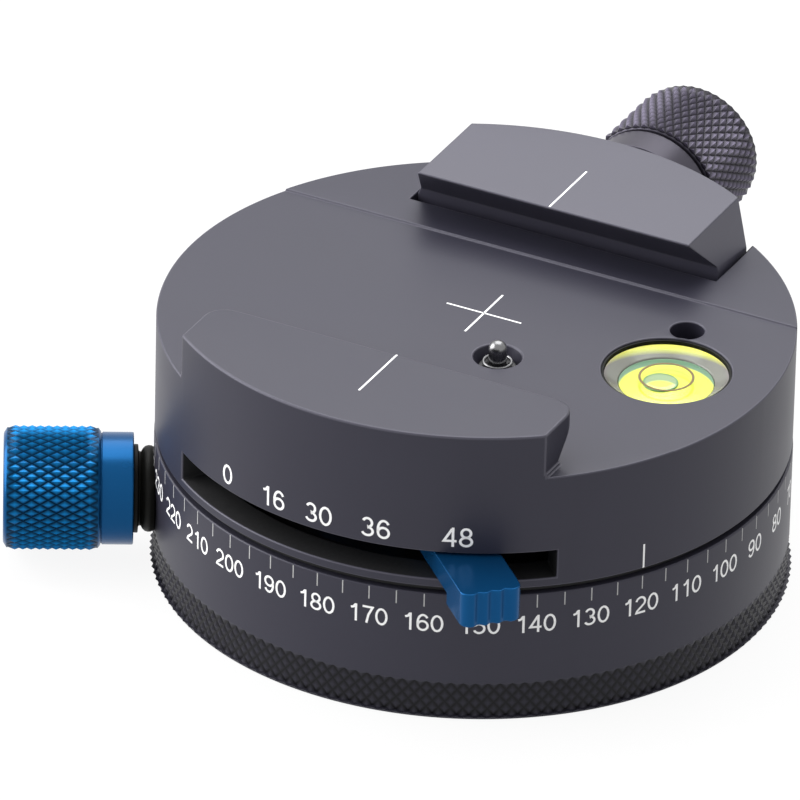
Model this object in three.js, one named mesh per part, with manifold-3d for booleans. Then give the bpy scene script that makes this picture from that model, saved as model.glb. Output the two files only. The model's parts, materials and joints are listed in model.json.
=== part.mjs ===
// Panoramic head: a turning head for a tripod, with click stops and a dovetail plate clamp.
// Millimetres, +Z up. The origin is on the turning axis, at the underside of the base.
// +X runs along the clamp jaws and +Y from the fixed jaw towards the movable jaw and its knob.

import * as THREE from 'three';
import { mergeVertices } from 'three/addons/utils/BufferGeometryUtils.js';
import Module from 'manifold-3d';

const wasm = await Module();
wasm.setup();

// Driving dimensions

const slip = 0.1;            // gap at a running or sliding fit
const seat = 0.3;            // gap round a piece that sits in a cut made for it
const overrun = 2;           // how far a cutting shape runs past what it cuts
const edgeBreak = 0.25;      // small chamfer on turned and milled edges
const mergeDistance = 1e-4;  // corners closer than this are one corner

// Tripod bushing, and the hub that turns round it

const bushingBore = 4.5;
const bushingWall = 1.8;
const bushingLength = 9.4;
const bushingFlangeWidth = 1.9;
const bushingFlangeThickness = 1.3;
const hubBoreRoom = 0.6;
const hubBoreHeadroom = 1.1;
const hubWall = 1.9;
const hubRootCover = 0.85;
const hubRootFloor = 0.2;

// Rotor

const rotorRadius = 33;
const rotorThickness = 12.75;
const rotorGap = 0.72;
const rearRise = 0.2;
const rearStepRoom = 4.6;
const skirtWall = 3.5;
const roofThickness = 4.1;

// Base

const baseProud = 0.05;
const baseHeight = 14.63;
const bandProud = 0.1;
const bandHeight = 4.8;
const rimLand = 2.45;
const rimHeight = 2.03;
const nutRoom = 2.4;
const nutThickness = 1.3;
const nutWidth = 3.1;
const nutSlotWidth = 2.6;
const thrustThickness = 0.6;
const glideInset = 0.75;

const coverMargin = 7.05;
const coverThickness = 2.5;
const coverScrewShare = 0.53;
const coverScrewCount = 4;
const coverScrewStart = THREE.MathUtils.degToRad(45);
const coverScrewRadius = 1.5;
const coverScrewLength = 7;
const coverHeadRadius = 2.9;
const countersink = 1.6;

// Index disc

const indexHubRoom = 0.8;
const indexRimRoom = 4;
const indexThickness = 1.8;
const dimpleRadius = 0.62;
const dimpleDepth = 0.45;
const indexScrewInset = 2.7;
const indexScrewCount = 3;
const indexScrewRadius = 1;
const indexScrewLength = 4.5;
const indexHeadRadius = 1.9;
const indexCountersink = 0.9;

// Click-stop selector and its slot

const slotLip = 1;
const slotHeight = 3.15;
const slotEndRoom = 5.45;
const pivotShare = 0.24875;
const pivotRadius = 1.5;
const pivotThread = 1.2;
const pivotEngagement = 0.8;
const pivotHeadRadius = 2.7;
const pivotHeadHeight = 1;
const pivotBossRadius = 3.3;
const leverAngle = THREE.MathUtils.degToRad(-45);
const leverSweep = THREE.MathUtils.degToRad(88);
const leverWidth = 6.4;
const leverHubRadius = 3.6;
const gripGap = 0.7;
const gripLength = 5.2;
const gripCornerRadius = 1.1;
const gripScallops = 4;
const gripScallopRadius = 0.45;
const detentReach = 7;
const detentBossRadius = 1.95;
const ballRadius = 1.15;
const ballLift = 0.15;
const detentSpringTurns = 2;

// Stops per turn: each row of dimples lies where the ball comes to rest at one lever position.
const stopCounts = [16, 30, 36, 48];
const stopLeverAngles = [-114, -96, -75, -45].map(THREE.MathUtils.degToRad);

// Fixed jaw

const jawHeight = 5;
const jawLipY = -18.4;
const jawHalfLength = 20.8;
const jawCornerRadius = 2.5;
const jawLipHeight = 0.3;

// Movable jaw, its pocket and its leg

const slideHeight = 5.2;
const slideLipY = 16.15;
const slideLipHeight = 0.25;
const slideCentreX = 0.5;
const slideTopHalf = 15.7;
const slideFootHalf = 17.4;
const slideSetback = 0.85;
const slideClosing = 1;
const pocketFrontRoom = 2.1;
const pocketCentreX = 0.4;
const pocketEndRoom = 0.4;
const pocketDepth = 2.1;
const legThickness = 3.55;
const legMargin = 3;
const legDrop = 0.6;
const blockMargin = 2.3;
const blockDrop = 0.9;
const spotFaceDepth = 0.45;

// Clamp screw, washers and knob

const clampAxisDrop = 4.7;
const clampScrewRadius = 2.5;
const clampScrewReach = 13.1;
const clampTipWall = 1.9;
const washerThickness = 0.95;
const washerWidth = 2.1;
const neckStep = 0.2;
const clampCollarGap = 4;
const clampCollarRadius = 6.95;
const clampCollarLength = 4;
const clampHeadRadius = 7.45;
const clampHeadLength = 10.9;
const clampKnobRound = 0.9;
const clampKnobChamfer = 0.3;
const clampKnobGroove = 0.35;
const knobSocketDepth = 5;

const guidePinRadius = 1.1;
const guidePinRoom = 0.2;
const guidePinReach = 11.1;
const springWire = 0.2;
const returnSpringRadius = 1.75;
const returnSpringTurns = 5;
const returnSpringDepth = 5;

// Rotation lock

const lockAngle = THREE.MathUtils.degToRad(208.33);
const lockHeightShare = 0.33117;
const lockScrewRadius = 2.3;
const lockTipRoom = 1.4;
const lockWasherGap = 1.35;
const lockWasherThickness = 0.4;
const lockWasherWidth = 2.15;
const lockCollarRadius = 5.85;
const lockCollarLength = 3.4;
const lockHeadRadius = 6.45;
const lockHeadLength = 10.1;
const lockKnobRound = 0.75;
const lockKnobChamfer = 0.55;
const lockKnobGroove = 0.12;
const shoeWidth = 6.4;
const shoeHeight = 3.8;
const shoeLength = 6;

// Spirit level

const levelEdgeRoom = 11.2;
const levelHoleRadius = 6.7;
const levelRoom = 0.25;
const levelHoleDepth = 3.4;
const levelDrop = 0.5;
const levelWall = 1.4;
const levelLens = 0.8;
const levelDome = 0.25;
const levelBaseThickness = 0.55;

// Safety pin

const pinX = 5.4;
const pinY = -5.9;
const pinRadius = 0.95;
const pinStand = 1.8;
const pinRecessRadius = 2.55;
const pinRecessDepth = 1.5;
const pinWellRadius = 1.75;
const pinFlangeRadius = 1.5;
const pinFlangeHeight = 0.7;
const pinTailRadius = 0.6;
const pinTailLength = 1.9;
const pinSleeveLength = 1.8;
const pinSleeveRim = 0.4;
const pinSpringTurns = 5;

// Threaded hole behind the level

const screwHoleInset = 1.8;
const screwHoleY = 8.45;
const screwHoleRadius = 1.78;

// Facets round a full turn

const bodyFacets = 64;
const middleFacets = 32;
const smallFacets = 20;
const tinyFacets = 12;
const arcFacets = 10;
const dimpleFacets = 4;
const springSteps = 6;
const springSides = 5;
const sealSides = 8;

// Finishes

function finish(color, roughness, metalness) {
	return new THREE.MeshStandardMaterial({ color, roughness, metalness });
}

const charcoal = () => finish(0x3f3f4a, 0.45, 0.7);
const blueAnodised = () => finish(0x0c5aa6, 0.35, 0.8);
const steel = () => finish(0xb8babd, 0.25, 1);
const brass = () => finish(0xb6964e, 0.3, 1);
const blackRubber = () => finish(0x111111, 0.8, 0);
const whitePlastic = () => finish(0xe6e4dc, 0.6, 0);
const levelGreen = () => finish(0xd8e650, 0.3, 0);
const clearAcrylic = () => finish(0xdfe6dd, 0.1, 0);

// Closed meshes: shared corners merged, empty triangles dropped, faces turned outwards

function closed(geometry) {
	geometry.deleteAttribute('normal');
	geometry.deleteAttribute('uv');
	const merged = mergeVertices(geometry, mergeDistance);
	const place = merged.attributes.position;
	const index = merged.index.array;
	const faces = [];
	const [a, b, c] = [new THREE.Vector3(), new THREE.Vector3(), new THREE.Vector3()];
	let volume = 0;
	for (let i = 0; i < index.length; i += 3) {
		const [p, q, r] = [index[i], index[i + 1], index[i + 2]];
		if (p === q || q === r || r === p) continue;
		faces.push([p, q, r]);
		a.fromBufferAttribute(place, p);
		b.fromBufferAttribute(place, q);
		c.fromBufferAttribute(place, r);
		volume += a.dot(b.cross(c));
	}
	const turnedOut = volume > 0 ? faces : faces.map(([p, q, r]) => [p, r, q]);
	merged.setIndex(turnedOut.flat());
	return merged;
}

function solid(geometry) {
	const mesh = closed(geometry.clone());
	const vertProperties = new Float32Array(mesh.attributes.position.array);
	const triVerts = new Uint32Array(mesh.index.array);
	return new wasm.Manifold(new wasm.Mesh({ numProp: 3, vertProperties, triVerts }));
}

function surface(manifold) {
	const mesh = manifold.getMesh();
	const geometry = new THREE.BufferGeometry();
	geometry.setAttribute('position', new THREE.BufferAttribute(new Float32Array(mesh.vertProperties), 3));
	geometry.setIndex(new THREE.BufferAttribute(new Uint32Array(mesh.triVerts), 1));
	return geometry;
}

function cut(body, ...tools) {
	return surface(tools.reduce((left, tool) => left.subtract(solid(tool)), solid(body)));
}

function join(body, ...others) {
	return surface(others.reduce((whole, other) => whole.add(solid(other)), solid(body)));
}

function common(body, ...others) {
	return surface(others.reduce((whole, other) => whole.intersect(solid(other)), solid(body)));
}

// Turned, milled and drawn shapes, all along +Z

function turned(profile, facets) {
	const points = profile.map(([radius, height]) => new THREE.Vector2(radius, height));
	return new THREE.LatheGeometry(points, facets).rotateX(Math.PI / 2);
}

function rod(radius, low, high, facets = smallFacets) {
	return turned([[0, low], [radius, low], [radius, high], [0, high]], facets);
}

function ring(inner, outer, low, high, facets = middleFacets) {
	return turned([[inner, low], [outer, low], [outer, high], [inner, high], [inner, low]], facets);
}

function block(lowX, highX, lowY, highY, lowZ, highZ) {
	const box = new THREE.BoxGeometry(highX - lowX, highY - lowY, highZ - lowZ);
	return box.translate((lowX + highX) / 2, (lowY + highY) / 2, (lowZ + highZ) / 2);
}

function plate(shape, low, high, facets = arcFacets) {
	const settings = { depth: high - low, bevelEnabled: false, curveSegments: facets };
	return new THREE.ExtrudeGeometry(shape, settings).translate(0, 0, low);
}

function alongX(geometry) {
	return geometry.rotateY(Math.PI / 2);
}

function alongY(geometry) {
	return geometry.rotateX(-Math.PI / 2);
}

function polygon(points) {
	return new THREE.Shape(points.map(([x, y]) => new THREE.Vector2(x, y)));
}

class Helix extends THREE.Curve {
	constructor(radius, low, high, turns) {
		super();
		Object.assign(this, { radius, low, high, turns });
	}

	getPoint(share, target = new THREE.Vector3()) {
		const angle = share * this.turns * 2 * Math.PI;
		const height = this.low + share * (this.high - this.low);
		return target.set(this.radius * Math.cos(angle), this.radius * Math.sin(angle), height);
	}
}

function spring(radius, low, high, turns) {
	const wire = new THREE.Shape(Array.from({ length: springSides }, (_, i) => {
		const angle = (i * 2 * Math.PI) / springSides;
		return new THREE.Vector2(springWire * Math.cos(angle), springWire * Math.sin(angle));
	}));
	const path = new Helix(radius - springWire, low + springWire, high - springWire, turns);
	return new THREE.ExtrudeGeometry(wire, { steps: turns * springSteps, extrudePath: path });
}

// A countersunk screw with its head face at height top and its point at height tip

function countersunkScrew(headRadius, shankRadius, headDepth, top, tip) {
	const inward = Math.sign(tip - top);
	return turned([
		[0, top], [headRadius, top], [shankRadius, top + inward * headDepth], [shankRadius, tip], [0, tip],
	], tinyFacets);
}

function aroundCircle(count, radius, start, make) {
	return Array.from({ length: count }, (_, i) => {
		const angle = start + (i * 2 * Math.PI) / count;
		return make(i).translate(radius * Math.cos(angle), radius * Math.sin(angle), 0);
	});
}

// Heights and radii that follow from the driving dimensions

const rotorBottom = baseHeight + rotorGap;
const floorHeight = rotorBottom + rotorThickness;
const rearFloor = floorHeight + rearRise;
const roofBottom = floorHeight - roofThickness;
const skirtRadius = rotorRadius - skirtWall;

const baseRadius = rotorRadius + baseProud;
const rimRadius = baseRadius - rimLand;
const webTop = baseHeight - rimHeight;
const webBottom = coverThickness + nutRoom;

const bushingRadius = bushingBore + bushingWall;
const bushingFlange = bushingRadius + bushingFlangeWidth;
const hubBoreRadius = bushingRadius + hubBoreRoom;
const hubBoreTop = bushingLength + hubBoreHeadroom;
const hubRadius = hubBoreRadius + hubWall;
const hubBottom = coverThickness + seat + slip;
const nutTop = hubBottom + nutThickness;
const bearingRadius = hubRadius + slip;
const pocketRadius = hubRadius + slip + nutWidth + seat;

const coverRadius = baseRadius - coverMargin;
const coverSeatRadius = coverRadius + slip;
const coverScrewCircle = pocketRadius + coverScrewShare * (coverRadius - pocketRadius);

const indexInner = hubRadius + indexHubRoom;
const indexOuter = rimRadius - indexRimRoom;
const indexTop = webTop + indexThickness;
const indexScrewCircle = indexOuter - indexScrewInset;

const pinFlangeBottom = floorHeight - pinRecessDepth - pinSleeveLength - pinFlangeHeight - slip;
const pinWellBottom = pinFlangeBottom - pinTailLength - pinStand - seat;
const hubRootRadius = Math.hypot(pinX, pinY) + pinWellRadius + hubRootCover;
const hubRootBottom = pinWellBottom - hubRootFloor;

const slotBottom = rotorBottom + slotLip;
const slotTop = slotBottom + slotHeight;
const leverBottom = slotBottom + seat;
const leverTop = slotTop - seat;
const pivotThreadTop = roofBottom + pivotEngagement;
const pivotY = -hubRootRadius - pivotShare * (skirtRadius - hubRootRadius);

// Distance along the lever, from its pivot, to where its side line crosses a circle round the turning axis

function leverCrossing(angle, offset, radius) {
	const startX = -offset * Math.sin(angle);
	const startY = pivotY + offset * Math.cos(angle);
	const along = startX * Math.cos(angle) + startY * Math.sin(angle);
	const distance = Math.sqrt(along ** 2 - startX ** 2 - startY ** 2 + radius ** 2) - along;
	const x = startX + distance * Math.cos(angle);
	const y = startY + distance * Math.sin(angle);
	return { distance, bearing: Math.atan2(y, x) };
}

const gripStart = leverCrossing(leverAngle, leverWidth / 2, rotorRadius + gripGap).distance;
const leverReach = gripStart + gripLength;
const slotEndAngle = slotEndRoom / rotorRadius;
const slotEnd = leverCrossing(leverAngle, leverWidth / 2, rotorRadius).bearing + slotEndAngle;
const slotStart = leverCrossing(leverAngle - leverSweep, -leverWidth / 2, rotorRadius).bearing - slotEndAngle;

const jawTop = floorHeight + jawHeight;
const slideTop = floorHeight + slideHeight;
const slideFootY = slideLipY + slideTop - slideLipHeight - rearFloor;
const slideRearRadius = rotorRadius - slideSetback;
const pocketFrontY = slideFootY - pocketFrontRoom;
const pocketHalf = slideFootHalf + pocketEndRoom;
const rearStepY = pocketFrontY - rearStepRoom;

const clampAxisHeight = floorHeight - clampAxisDrop;
const washerRadius = clampScrewRadius + washerWidth;
const neckRadius = washerRadius - neckStep;
const guidePinX = washerRadius + seat + guidePinRadius + guidePinRoom;
const legHalfWidth = guidePinX + legMargin;
const legFrontY = slideRearRadius - legThickness;
const legBottom = clampAxisHeight - washerRadius - legDrop;
const spotFaceY = slideRearRadius - spotFaceDepth;
const blockHalfWidth = legHalfWidth + blockMargin;
const blockBottom = legBottom - blockDrop;
const clampScrewTip = legFrontY - clampScrewReach;
const blockFrontY = clampScrewTip - clampTipWall;
const guidePinTip = legFrontY - guidePinReach;
const clampCollarStart = rotorRadius + clampCollarGap;
const clampHeadStart = clampCollarStart + clampCollarLength;

const lockAxisHeight = webBottom + lockHeightShare * (webTop - webBottom);
const lockScrewTip = hubRadius + shoeLength + lockTipRoom;
const lockWasherStart = baseRadius + lockWasherGap;
const lockWasherRadius = lockScrewRadius + lockWasherWidth;
const lockCollarStart = lockWasherStart + lockWasherThickness + seat;
const lockHeadStart = lockCollarStart + lockCollarLength;

const levelX = rotorRadius - levelEdgeRoom;
const screwHoleX = levelX - screwHoleInset;

// Base

function baseHousing() {
	const shell = turned([
		[0, 0],
		[baseRadius + bandProud - edgeBreak, 0],
		[baseRadius + bandProud, edgeBreak],
		[baseRadius + bandProud, bandHeight],
		[baseRadius, bandHeight + bandProud],
		[baseRadius, baseHeight - edgeBreak],
		[baseRadius - edgeBreak, baseHeight],
		[rimRadius, baseHeight],
		[rimRadius, webTop],
		[0, webTop],
	], bodyFacets);
	const steppedBore = turned([
		[0, -overrun],
		[coverSeatRadius, -overrun],
		[coverSeatRadius, coverThickness],
		[pocketRadius, coverThickness],
		[pocketRadius, webBottom],
		[bearingRadius, webBottom],
		[bearingRadius, webTop + overrun],
		[0, webTop + overrun],
	], middleFacets);
	const channelEnd = lockScrewTip + overrun;
	const channelHalf = shoeWidth / 2 + slip;
	const channelHeight = shoeHeight / 2 + slip;
	const shoeChannel = block(
		0, channelEnd, -channelHalf, channelHalf, lockAxisHeight - channelHeight, lockAxisHeight + channelHeight,
	).rotateZ(lockAngle);
	const screwHole = alongX(rod(lockScrewRadius + seat, lockScrewTip, baseRadius + overrun))
		.rotateZ(lockAngle)
		.translate(0, 0, lockAxisHeight);
	const indexHoles = aroundCircle(indexScrewCount, indexScrewCircle, 0, () => (
		rod(indexScrewRadius + slip, indexTop - indexScrewLength - seat, webTop + overrun, tinyFacets)
	));
	const coverHoles = aroundCircle(coverScrewCount, coverScrewCircle, coverScrewStart, () => (
		rod(coverScrewRadius + slip, 0, coverScrewLength + seat, tinyFacets)
	));
	return cut(shell, steppedBore, shoeChannel, screwHole, ...indexHoles, ...coverHoles);
}

function basePlate() {
	const disc = turned([
		[bushingRadius + slip, 0],
		[coverRadius - edgeBreak, 0],
		[coverRadius, edgeBreak],
		[coverRadius, coverThickness],
		[bushingFlange + slip, coverThickness],
		[bushingFlange + slip, coverThickness - bushingFlangeThickness],
		[bushingRadius + slip, coverThickness - bushingFlangeThickness],
		[bushingRadius + slip, 0],
	], middleFacets);
	const holes = aroundCircle(coverScrewCount, coverScrewCircle, coverScrewStart, () => turned([
		[0, -overrun],
		[coverHeadRadius + slip, -overrun],
		[coverHeadRadius + slip, 0],
		[coverScrewRadius + slip, countersink],
		[coverScrewRadius + slip, coverThickness + overrun],
		[0, coverThickness + overrun],
	], tinyFacets));
	return cut(disc, ...holes);
}

function basePlateScrews() {
	return aroundCircle(coverScrewCount, coverScrewCircle, coverScrewStart, () => (
		countersunkScrew(coverHeadRadius, coverScrewRadius, countersink, 0, coverScrewLength)
	));
}

function tripodBushing() {
	return turned([
		[bushingBore + edgeBreak, 0],
		[bushingRadius, 0],
		[bushingRadius, coverThickness - bushingFlangeThickness],
		[bushingFlange, coverThickness - bushingFlangeThickness],
		[bushingFlange, coverThickness],
		[bushingRadius, coverThickness],
		[bushingRadius, bushingLength],
		[bushingBore, bushingLength],
		[bushingBore, edgeBreak],
		[bushingBore + edgeBreak, 0],
	], middleFacets);
}

// Index disc: one row of conical dimples for each count of stops, at the radius the ball reaches

function ballRadiusAt(angle) {
	const armAngle = angle - Math.PI / 2;
	const x = detentReach * Math.cos(armAngle);
	const y = pivotY + detentReach * Math.sin(armAngle);
	return Math.hypot(x, y);
}

function indexDisc() {
	const disc = ring(indexInner, indexOuter, webTop, indexTop, middleFacets);
	const dimple = () => turned([
		[0, indexTop - dimpleDepth], [dimpleRadius, indexTop], [dimpleRadius, indexTop + dimpleDepth],
		[0, indexTop + dimpleDepth],
	], dimpleFacets);
	const rows = stopCounts.flatMap((count, row) => (
		aroundCircle(count, ballRadiusAt(stopLeverAngles[row]), leverAngle, dimple)
	));
	const screwHoles = aroundCircle(indexScrewCount, indexScrewCircle, 0, () => turned([
		[0, webTop - overrun],
		[indexScrewRadius + slip, webTop - overrun],
		[indexScrewRadius + slip, indexTop - indexCountersink],
		[indexHeadRadius + slip, indexTop],
		[indexHeadRadius + slip, indexTop + overrun],
		[0, indexTop + overrun],
	], tinyFacets));
	return cut(disc, ...rows, ...screwHoles);
}

function indexScrews() {
	return aroundCircle(indexScrewCount, indexScrewCircle, 0, () => (
		countersunkScrew(
			indexHeadRadius, indexScrewRadius, indexCountersink, indexTop, indexTop - indexScrewLength,
		)
	));
}

function glideRing() {
	return ring(rimRadius + slip, baseRadius - glideInset, baseHeight, rotorBottom - slip / 2, bodyFacets);
}

// Rotor

function rotorShell() {
	return turned([
		[0, roofBottom],
		[skirtRadius, roofBottom],
		[skirtRadius, rotorBottom],
		[rotorRadius - edgeBreak, rotorBottom],
		[rotorRadius, rotorBottom + edgeBreak],
		[rotorRadius, floorHeight - edgeBreak],
		[rotorRadius - edgeBreak, floorHeight],
		[0, floorHeight],
	], bodyFacets);
}

function hub() {
	return turned([
		[0, hubBoreTop],
		[hubBoreRadius, hubBoreTop],
		[hubBoreRadius, hubBottom],
		[hubRadius, hubBottom],
		[hubRadius, hubRootBottom],
		[hubRootRadius, hubRootBottom],
		[hubRootRadius, roofBottom + edgeBreak],
		[0, roofBottom + edgeBreak],
	], middleFacets);
}

function cappedDisc(radius, low, high) {
	return turned([
		[0, low], [radius, low], [radius, high - edgeBreak], [radius - edgeBreak, high], [0, high],
	], bodyFacets);
}

function rearFloorSlab() {
	const disc = cappedDisc(rotorRadius, roofBottom, rearFloor);
	const rear = block(
		-rotorRadius - overrun, rotorRadius + overrun, rearStepY, rotorRadius + overrun,
		roofBottom - overrun, rearFloor + overrun,
	);
	return common(disc, rear);
}

// The fixed jaw: upright ends, and an undercut of 45 degrees along its lip

function fixedJaw() {
	const foot = floorHeight - edgeBreak;
	const rear = -rotorRadius - overrun;
	const cornerX = jawHalfLength - jawCornerRadius;
	const cornerY = jawLipY - jawCornerRadius;
	const outline = new THREE.Shape();
	outline.moveTo(-jawHalfLength, rear);
	outline.lineTo(jawHalfLength, rear);
	outline.absarc(cornerX, cornerY, jawCornerRadius, 0, Math.PI / 2, false);
	outline.absarc(-cornerX, cornerY, jawCornerRadius, Math.PI / 2, Math.PI, false);
	const lipBottom = jawTop - jawLipHeight;
	const cutBottom = foot - overrun;
	const profile = polygon([
		[jawLipY, lipBottom], [jawLipY - lipBottom + cutBottom, cutBottom],
		[jawLipY + overrun, cutBottom], [jawLipY + overrun, lipBottom],
	]);
	const undercut = plate(profile, -rotorRadius, rotorRadius)
		.rotateX(Math.PI / 2)
		.rotateZ(Math.PI / 2);
	const upright = common(plate(outline, foot, jawTop), cappedDisc(rotorRadius, roofBottom, jawTop));
	return cut(upright, undercut);
}

function selectorSlot() {
	const shape = new THREE.Shape();
	shape.absarc(0, 0, rotorRadius + overrun, slotStart, slotEnd, false);
	shape.absarc(0, 0, skirtRadius - overrun, slotEnd, slotStart, true);
	return plate(shape, slotBottom, slotTop, arcFacets * 3);
}

function clampBlock() {
	return common(
		block(-blockHalfWidth, blockHalfWidth, blockFrontY, rotorRadius, blockBottom, roofBottom + edgeBreak),
		rod(skirtRadius + skirtWall / 2, blockBottom - overrun, floorHeight, bodyFacets),
	);
}

function alongClampAxis(x, radius, start, end) {
	return alongY(rod(radius, start, end)).translate(x, 0, clampAxisHeight);
}

const notchFaceY = legFrontY - slideClosing - seat;
const springPocketY = notchFaceY - returnSpringDepth;

function clampCuts() {
	const pocket = block(
		pocketCentreX - pocketHalf, pocketCentreX + pocketHalf, pocketFrontY, rotorRadius + overrun,
		rearFloor - pocketDepth, rearFloor + overrun,
	);
	const notch = block(
		-legHalfWidth - seat, legHalfWidth + seat, notchFaceY, rotorRadius + overrun,
		legBottom - seat, rearFloor + overrun,
	);
	const boreEnd = clampScrewTip - slideClosing - seat;
	const screwBore = alongClampAxis(0, clampScrewRadius + slip, boreEnd, rotorRadius);
	const sides = [-1, 1].flatMap((side) => [
		alongClampAxis(side * guidePinX, guidePinRadius + slip, guidePinTip - slideClosing - seat, rotorRadius),
		alongClampAxis(side * guidePinX, returnSpringRadius + slip, springPocketY - seat, rotorRadius),
	]);
	return [pocket, notch, screwBore, ...sides];
}

function roofHoles() {
	const level = rod(levelHoleRadius, floorHeight - levelHoleDepth, floorHeight + overrun, middleFacets)
		.translate(levelX, 0, 0);
	const recess = rod(pinRecessRadius, floorHeight - pinRecessDepth, floorHeight + overrun)
		.translate(pinX, pinY, 0);
	const well = rod(pinWellRadius, pinWellBottom, floorHeight + overrun).translate(pinX, pinY, 0);
	const screwHole = rod(screwHoleRadius, floorHeight - levelHoleDepth, floorHeight + overrun)
		.translate(screwHoleX, screwHoleY, 0);
	const pivotHole = rod(pivotThread + slip, rotorBottom, pivotThreadTop + seat, tinyFacets)
		.translate(0, pivotY, 0);
	return [level, recess, well, screwHole, pivotHole];
}

function rotorBody() {
	const pivotBoss = rod(pivotBossRadius, leverTop + slip, roofBottom + edgeBreak).translate(0, pivotY, 0);
	const body = join(rotorShell(), hub(), rearFloorSlab(), fixedJaw(), clampBlock(), pivotBoss);
	return cut(body, selectorSlot(), ...clampCuts(), ...roofHoles());
}

function retainingNut() {
	const outer = hubRadius + slip + nutWidth;
	const nut = ring(hubRadius + slip, outer, hubBottom, nutTop, middleFacets);
	const slots = [0, 1].map((turn) => block(
		-outer - overrun, outer + overrun, -nutSlotWidth / 2, nutSlotWidth / 2, hubBottom - overrun,
		hubBottom + nutThickness / 2,
	).rotateZ(turn * Math.PI / 2));
	return cut(nut, ...slots);
}

function thrustWasher() {
	const low = webBottom - slip / 2 - thrustThickness;
	return ring(hubRadius + slip, hubRadius + nutWidth, low, webBottom - slip / 2, middleFacets);
}

// Click-stop selector: a bell crank with the blue tab on one arm and the ball on the other

function gripOutline() {
	const half = leverWidth / 2;
	const shape = new THREE.Shape();
	const landing = (leverWidth - 2 * gripCornerRadius - gripScallops * 2 * gripScallopRadius)
		/ (gripScallops + 1);
	const cornerX = leverReach - gripCornerRadius;
	const cornerY = half - gripCornerRadius;
	shape.moveTo(0, -half);
	shape.absarc(cornerX, -cornerY, gripCornerRadius, -Math.PI / 2, 0, false);
	let y = landing - cornerY;
	for (let groove = 0; groove < gripScallops; groove += 1) {
		shape.lineTo(leverReach, y);
		const middle = y + gripScallopRadius;
		shape.absarc(leverReach, middle, gripScallopRadius, -Math.PI / 2, Math.PI / 2, true);
		y = middle + gripScallopRadius + landing;
	}
	shape.absarc(cornerX, cornerY, gripCornerRadius, 0, Math.PI / 2, false);
	shape.lineTo(0, half);
	return shape;
}

const ballCentre = indexTop + ballLift + ballRadius;
const ballBoreTop = leverTop - seat;

function selectorLever() {
	const arm = plate(gripOutline(), leverBottom, leverTop, arcFacets / 2);
	const grip = common(
		plate(gripOutline(), rotorBottom, leverTop, arcFacets / 2),
		block(
			gripStart, leverReach + overrun, -leverWidth, leverWidth,
			rotorBottom - overrun, leverTop + overrun,
		),
	);
	const hub = rod(leverHubRadius, leverBottom, leverTop);
	const detentArm = block(-detentBossRadius, detentBossRadius, -detentReach, 0, leverBottom, leverTop);
	const detentBoss = rod(detentBossRadius, ballCentre - slip, leverTop).translate(0, -detentReach, 0);
	const body = join(arm, grip, hub, detentArm, detentBoss);
	const pivotBore = rod(pivotRadius + slip, leverBottom - overrun, leverTop + overrun);
	const ballBore = rod(ballRadius + slip, leverBottom - overrun, ballBoreTop).translate(0, -detentReach, 0);
	return cut(body, pivotBore, ballBore);
}

function pivotScrew() {
	const shoulderBottom = leverBottom - slip;
	return turned([
		[0, shoulderBottom - pivotHeadHeight],
		[pivotHeadRadius, shoulderBottom - pivotHeadHeight],
		[pivotHeadRadius, shoulderBottom],
		[pivotRadius, shoulderBottom],
		[pivotRadius, leverTop],
		[pivotThread, leverTop],
		[pivotThread, pivotThreadTop],
		[0, pivotThreadTop],
	], smallFacets);
}

function detentBall() {
	return new THREE.SphereGeometry(ballRadius, tinyFacets, tinyFacets / 2)
		.rotateX(Math.PI / 2)
		.translate(0, -detentReach, ballCentre);
}

function detentSpring() {
	return spring(ballRadius, ballCentre + ballRadius, ballBoreTop - slip, detentSpringTurns)
		.translate(0, -detentReach, 0);
}

// Plate clamp: the movable jaw with its leg, guide pins, return springs, screw and knob

function movableJaw() {
	const footBottom = rearFloor - pocketDepth + slip;
	const profile = polygon([
		[slideLipY, slideTop], [slideLipY, slideTop - slideLipHeight], [slideFootY, rearFloor],
		[slideFootY, footBottom], [rotorRadius + overrun, footBottom], [rotorRadius + overrun, slideTop],
	]);
	const bar = plate(profile, -rotorRadius, rotorRadius)
		.rotateX(Math.PI / 2)
		.rotateZ(Math.PI / 2);
	const front = polygon([
		[-slideFootHalf, footBottom], [slideFootHalf, footBottom], [slideFootHalf, rearFloor],
		[slideTopHalf, slideTop], [-slideTopHalf, slideTop], [-slideFootHalf, rearFloor],
	]);
	const ends = plate(front, -rotorRadius - overrun, 0).rotateX(Math.PI / 2).translate(slideCentreX, 0, 0);
	const jaw = common(bar, ends, cappedDisc(slideRearRadius, rotorBottom, slideTop));
	const leg = common(
		block(-legHalfWidth, legHalfWidth, legFrontY, rotorRadius, legBottom, rearFloor),
		cappedDisc(slideRearRadius, rotorBottom, slideTop),
	);
	const screwHole = alongClampAxis(0, clampScrewRadius + seat, legFrontY - overrun, rotorRadius + overrun);
	const spotFace = alongClampAxis(0, washerRadius + seat, spotFaceY, rotorRadius + overrun);
	const pinHoles = [-1, 1].map((side) => (
		alongClampAxis(side * guidePinX, guidePinRadius + slip, legFrontY - overrun, spotFaceY - slip)
	));
	return cut(join(jaw, leg), screwHole, spotFace, ...pinHoles);
}

function guidePin(side) {
	return alongClampAxis(side * guidePinX, guidePinRadius, guidePinTip, spotFaceY - seat);
}

function returnSpring(side) {
	const coil = spring(returnSpringRadius, springPocketY + slideClosing, legFrontY - slip, returnSpringTurns);
	return alongY(coil).translate(side * guidePinX, 0, clampAxisHeight);
}

function clampWasher(place) {
	const start = spotFaceY + place * washerThickness;
	return alongY(ring(clampScrewRadius + slip, washerRadius, start, start + washerThickness, smallFacets))
		.translate(0, 0, clampAxisHeight);
}

// A knob turned in one piece: neck, smooth collar, head with a chamfered foot and a rounded end,
// blind screw socket

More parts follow.
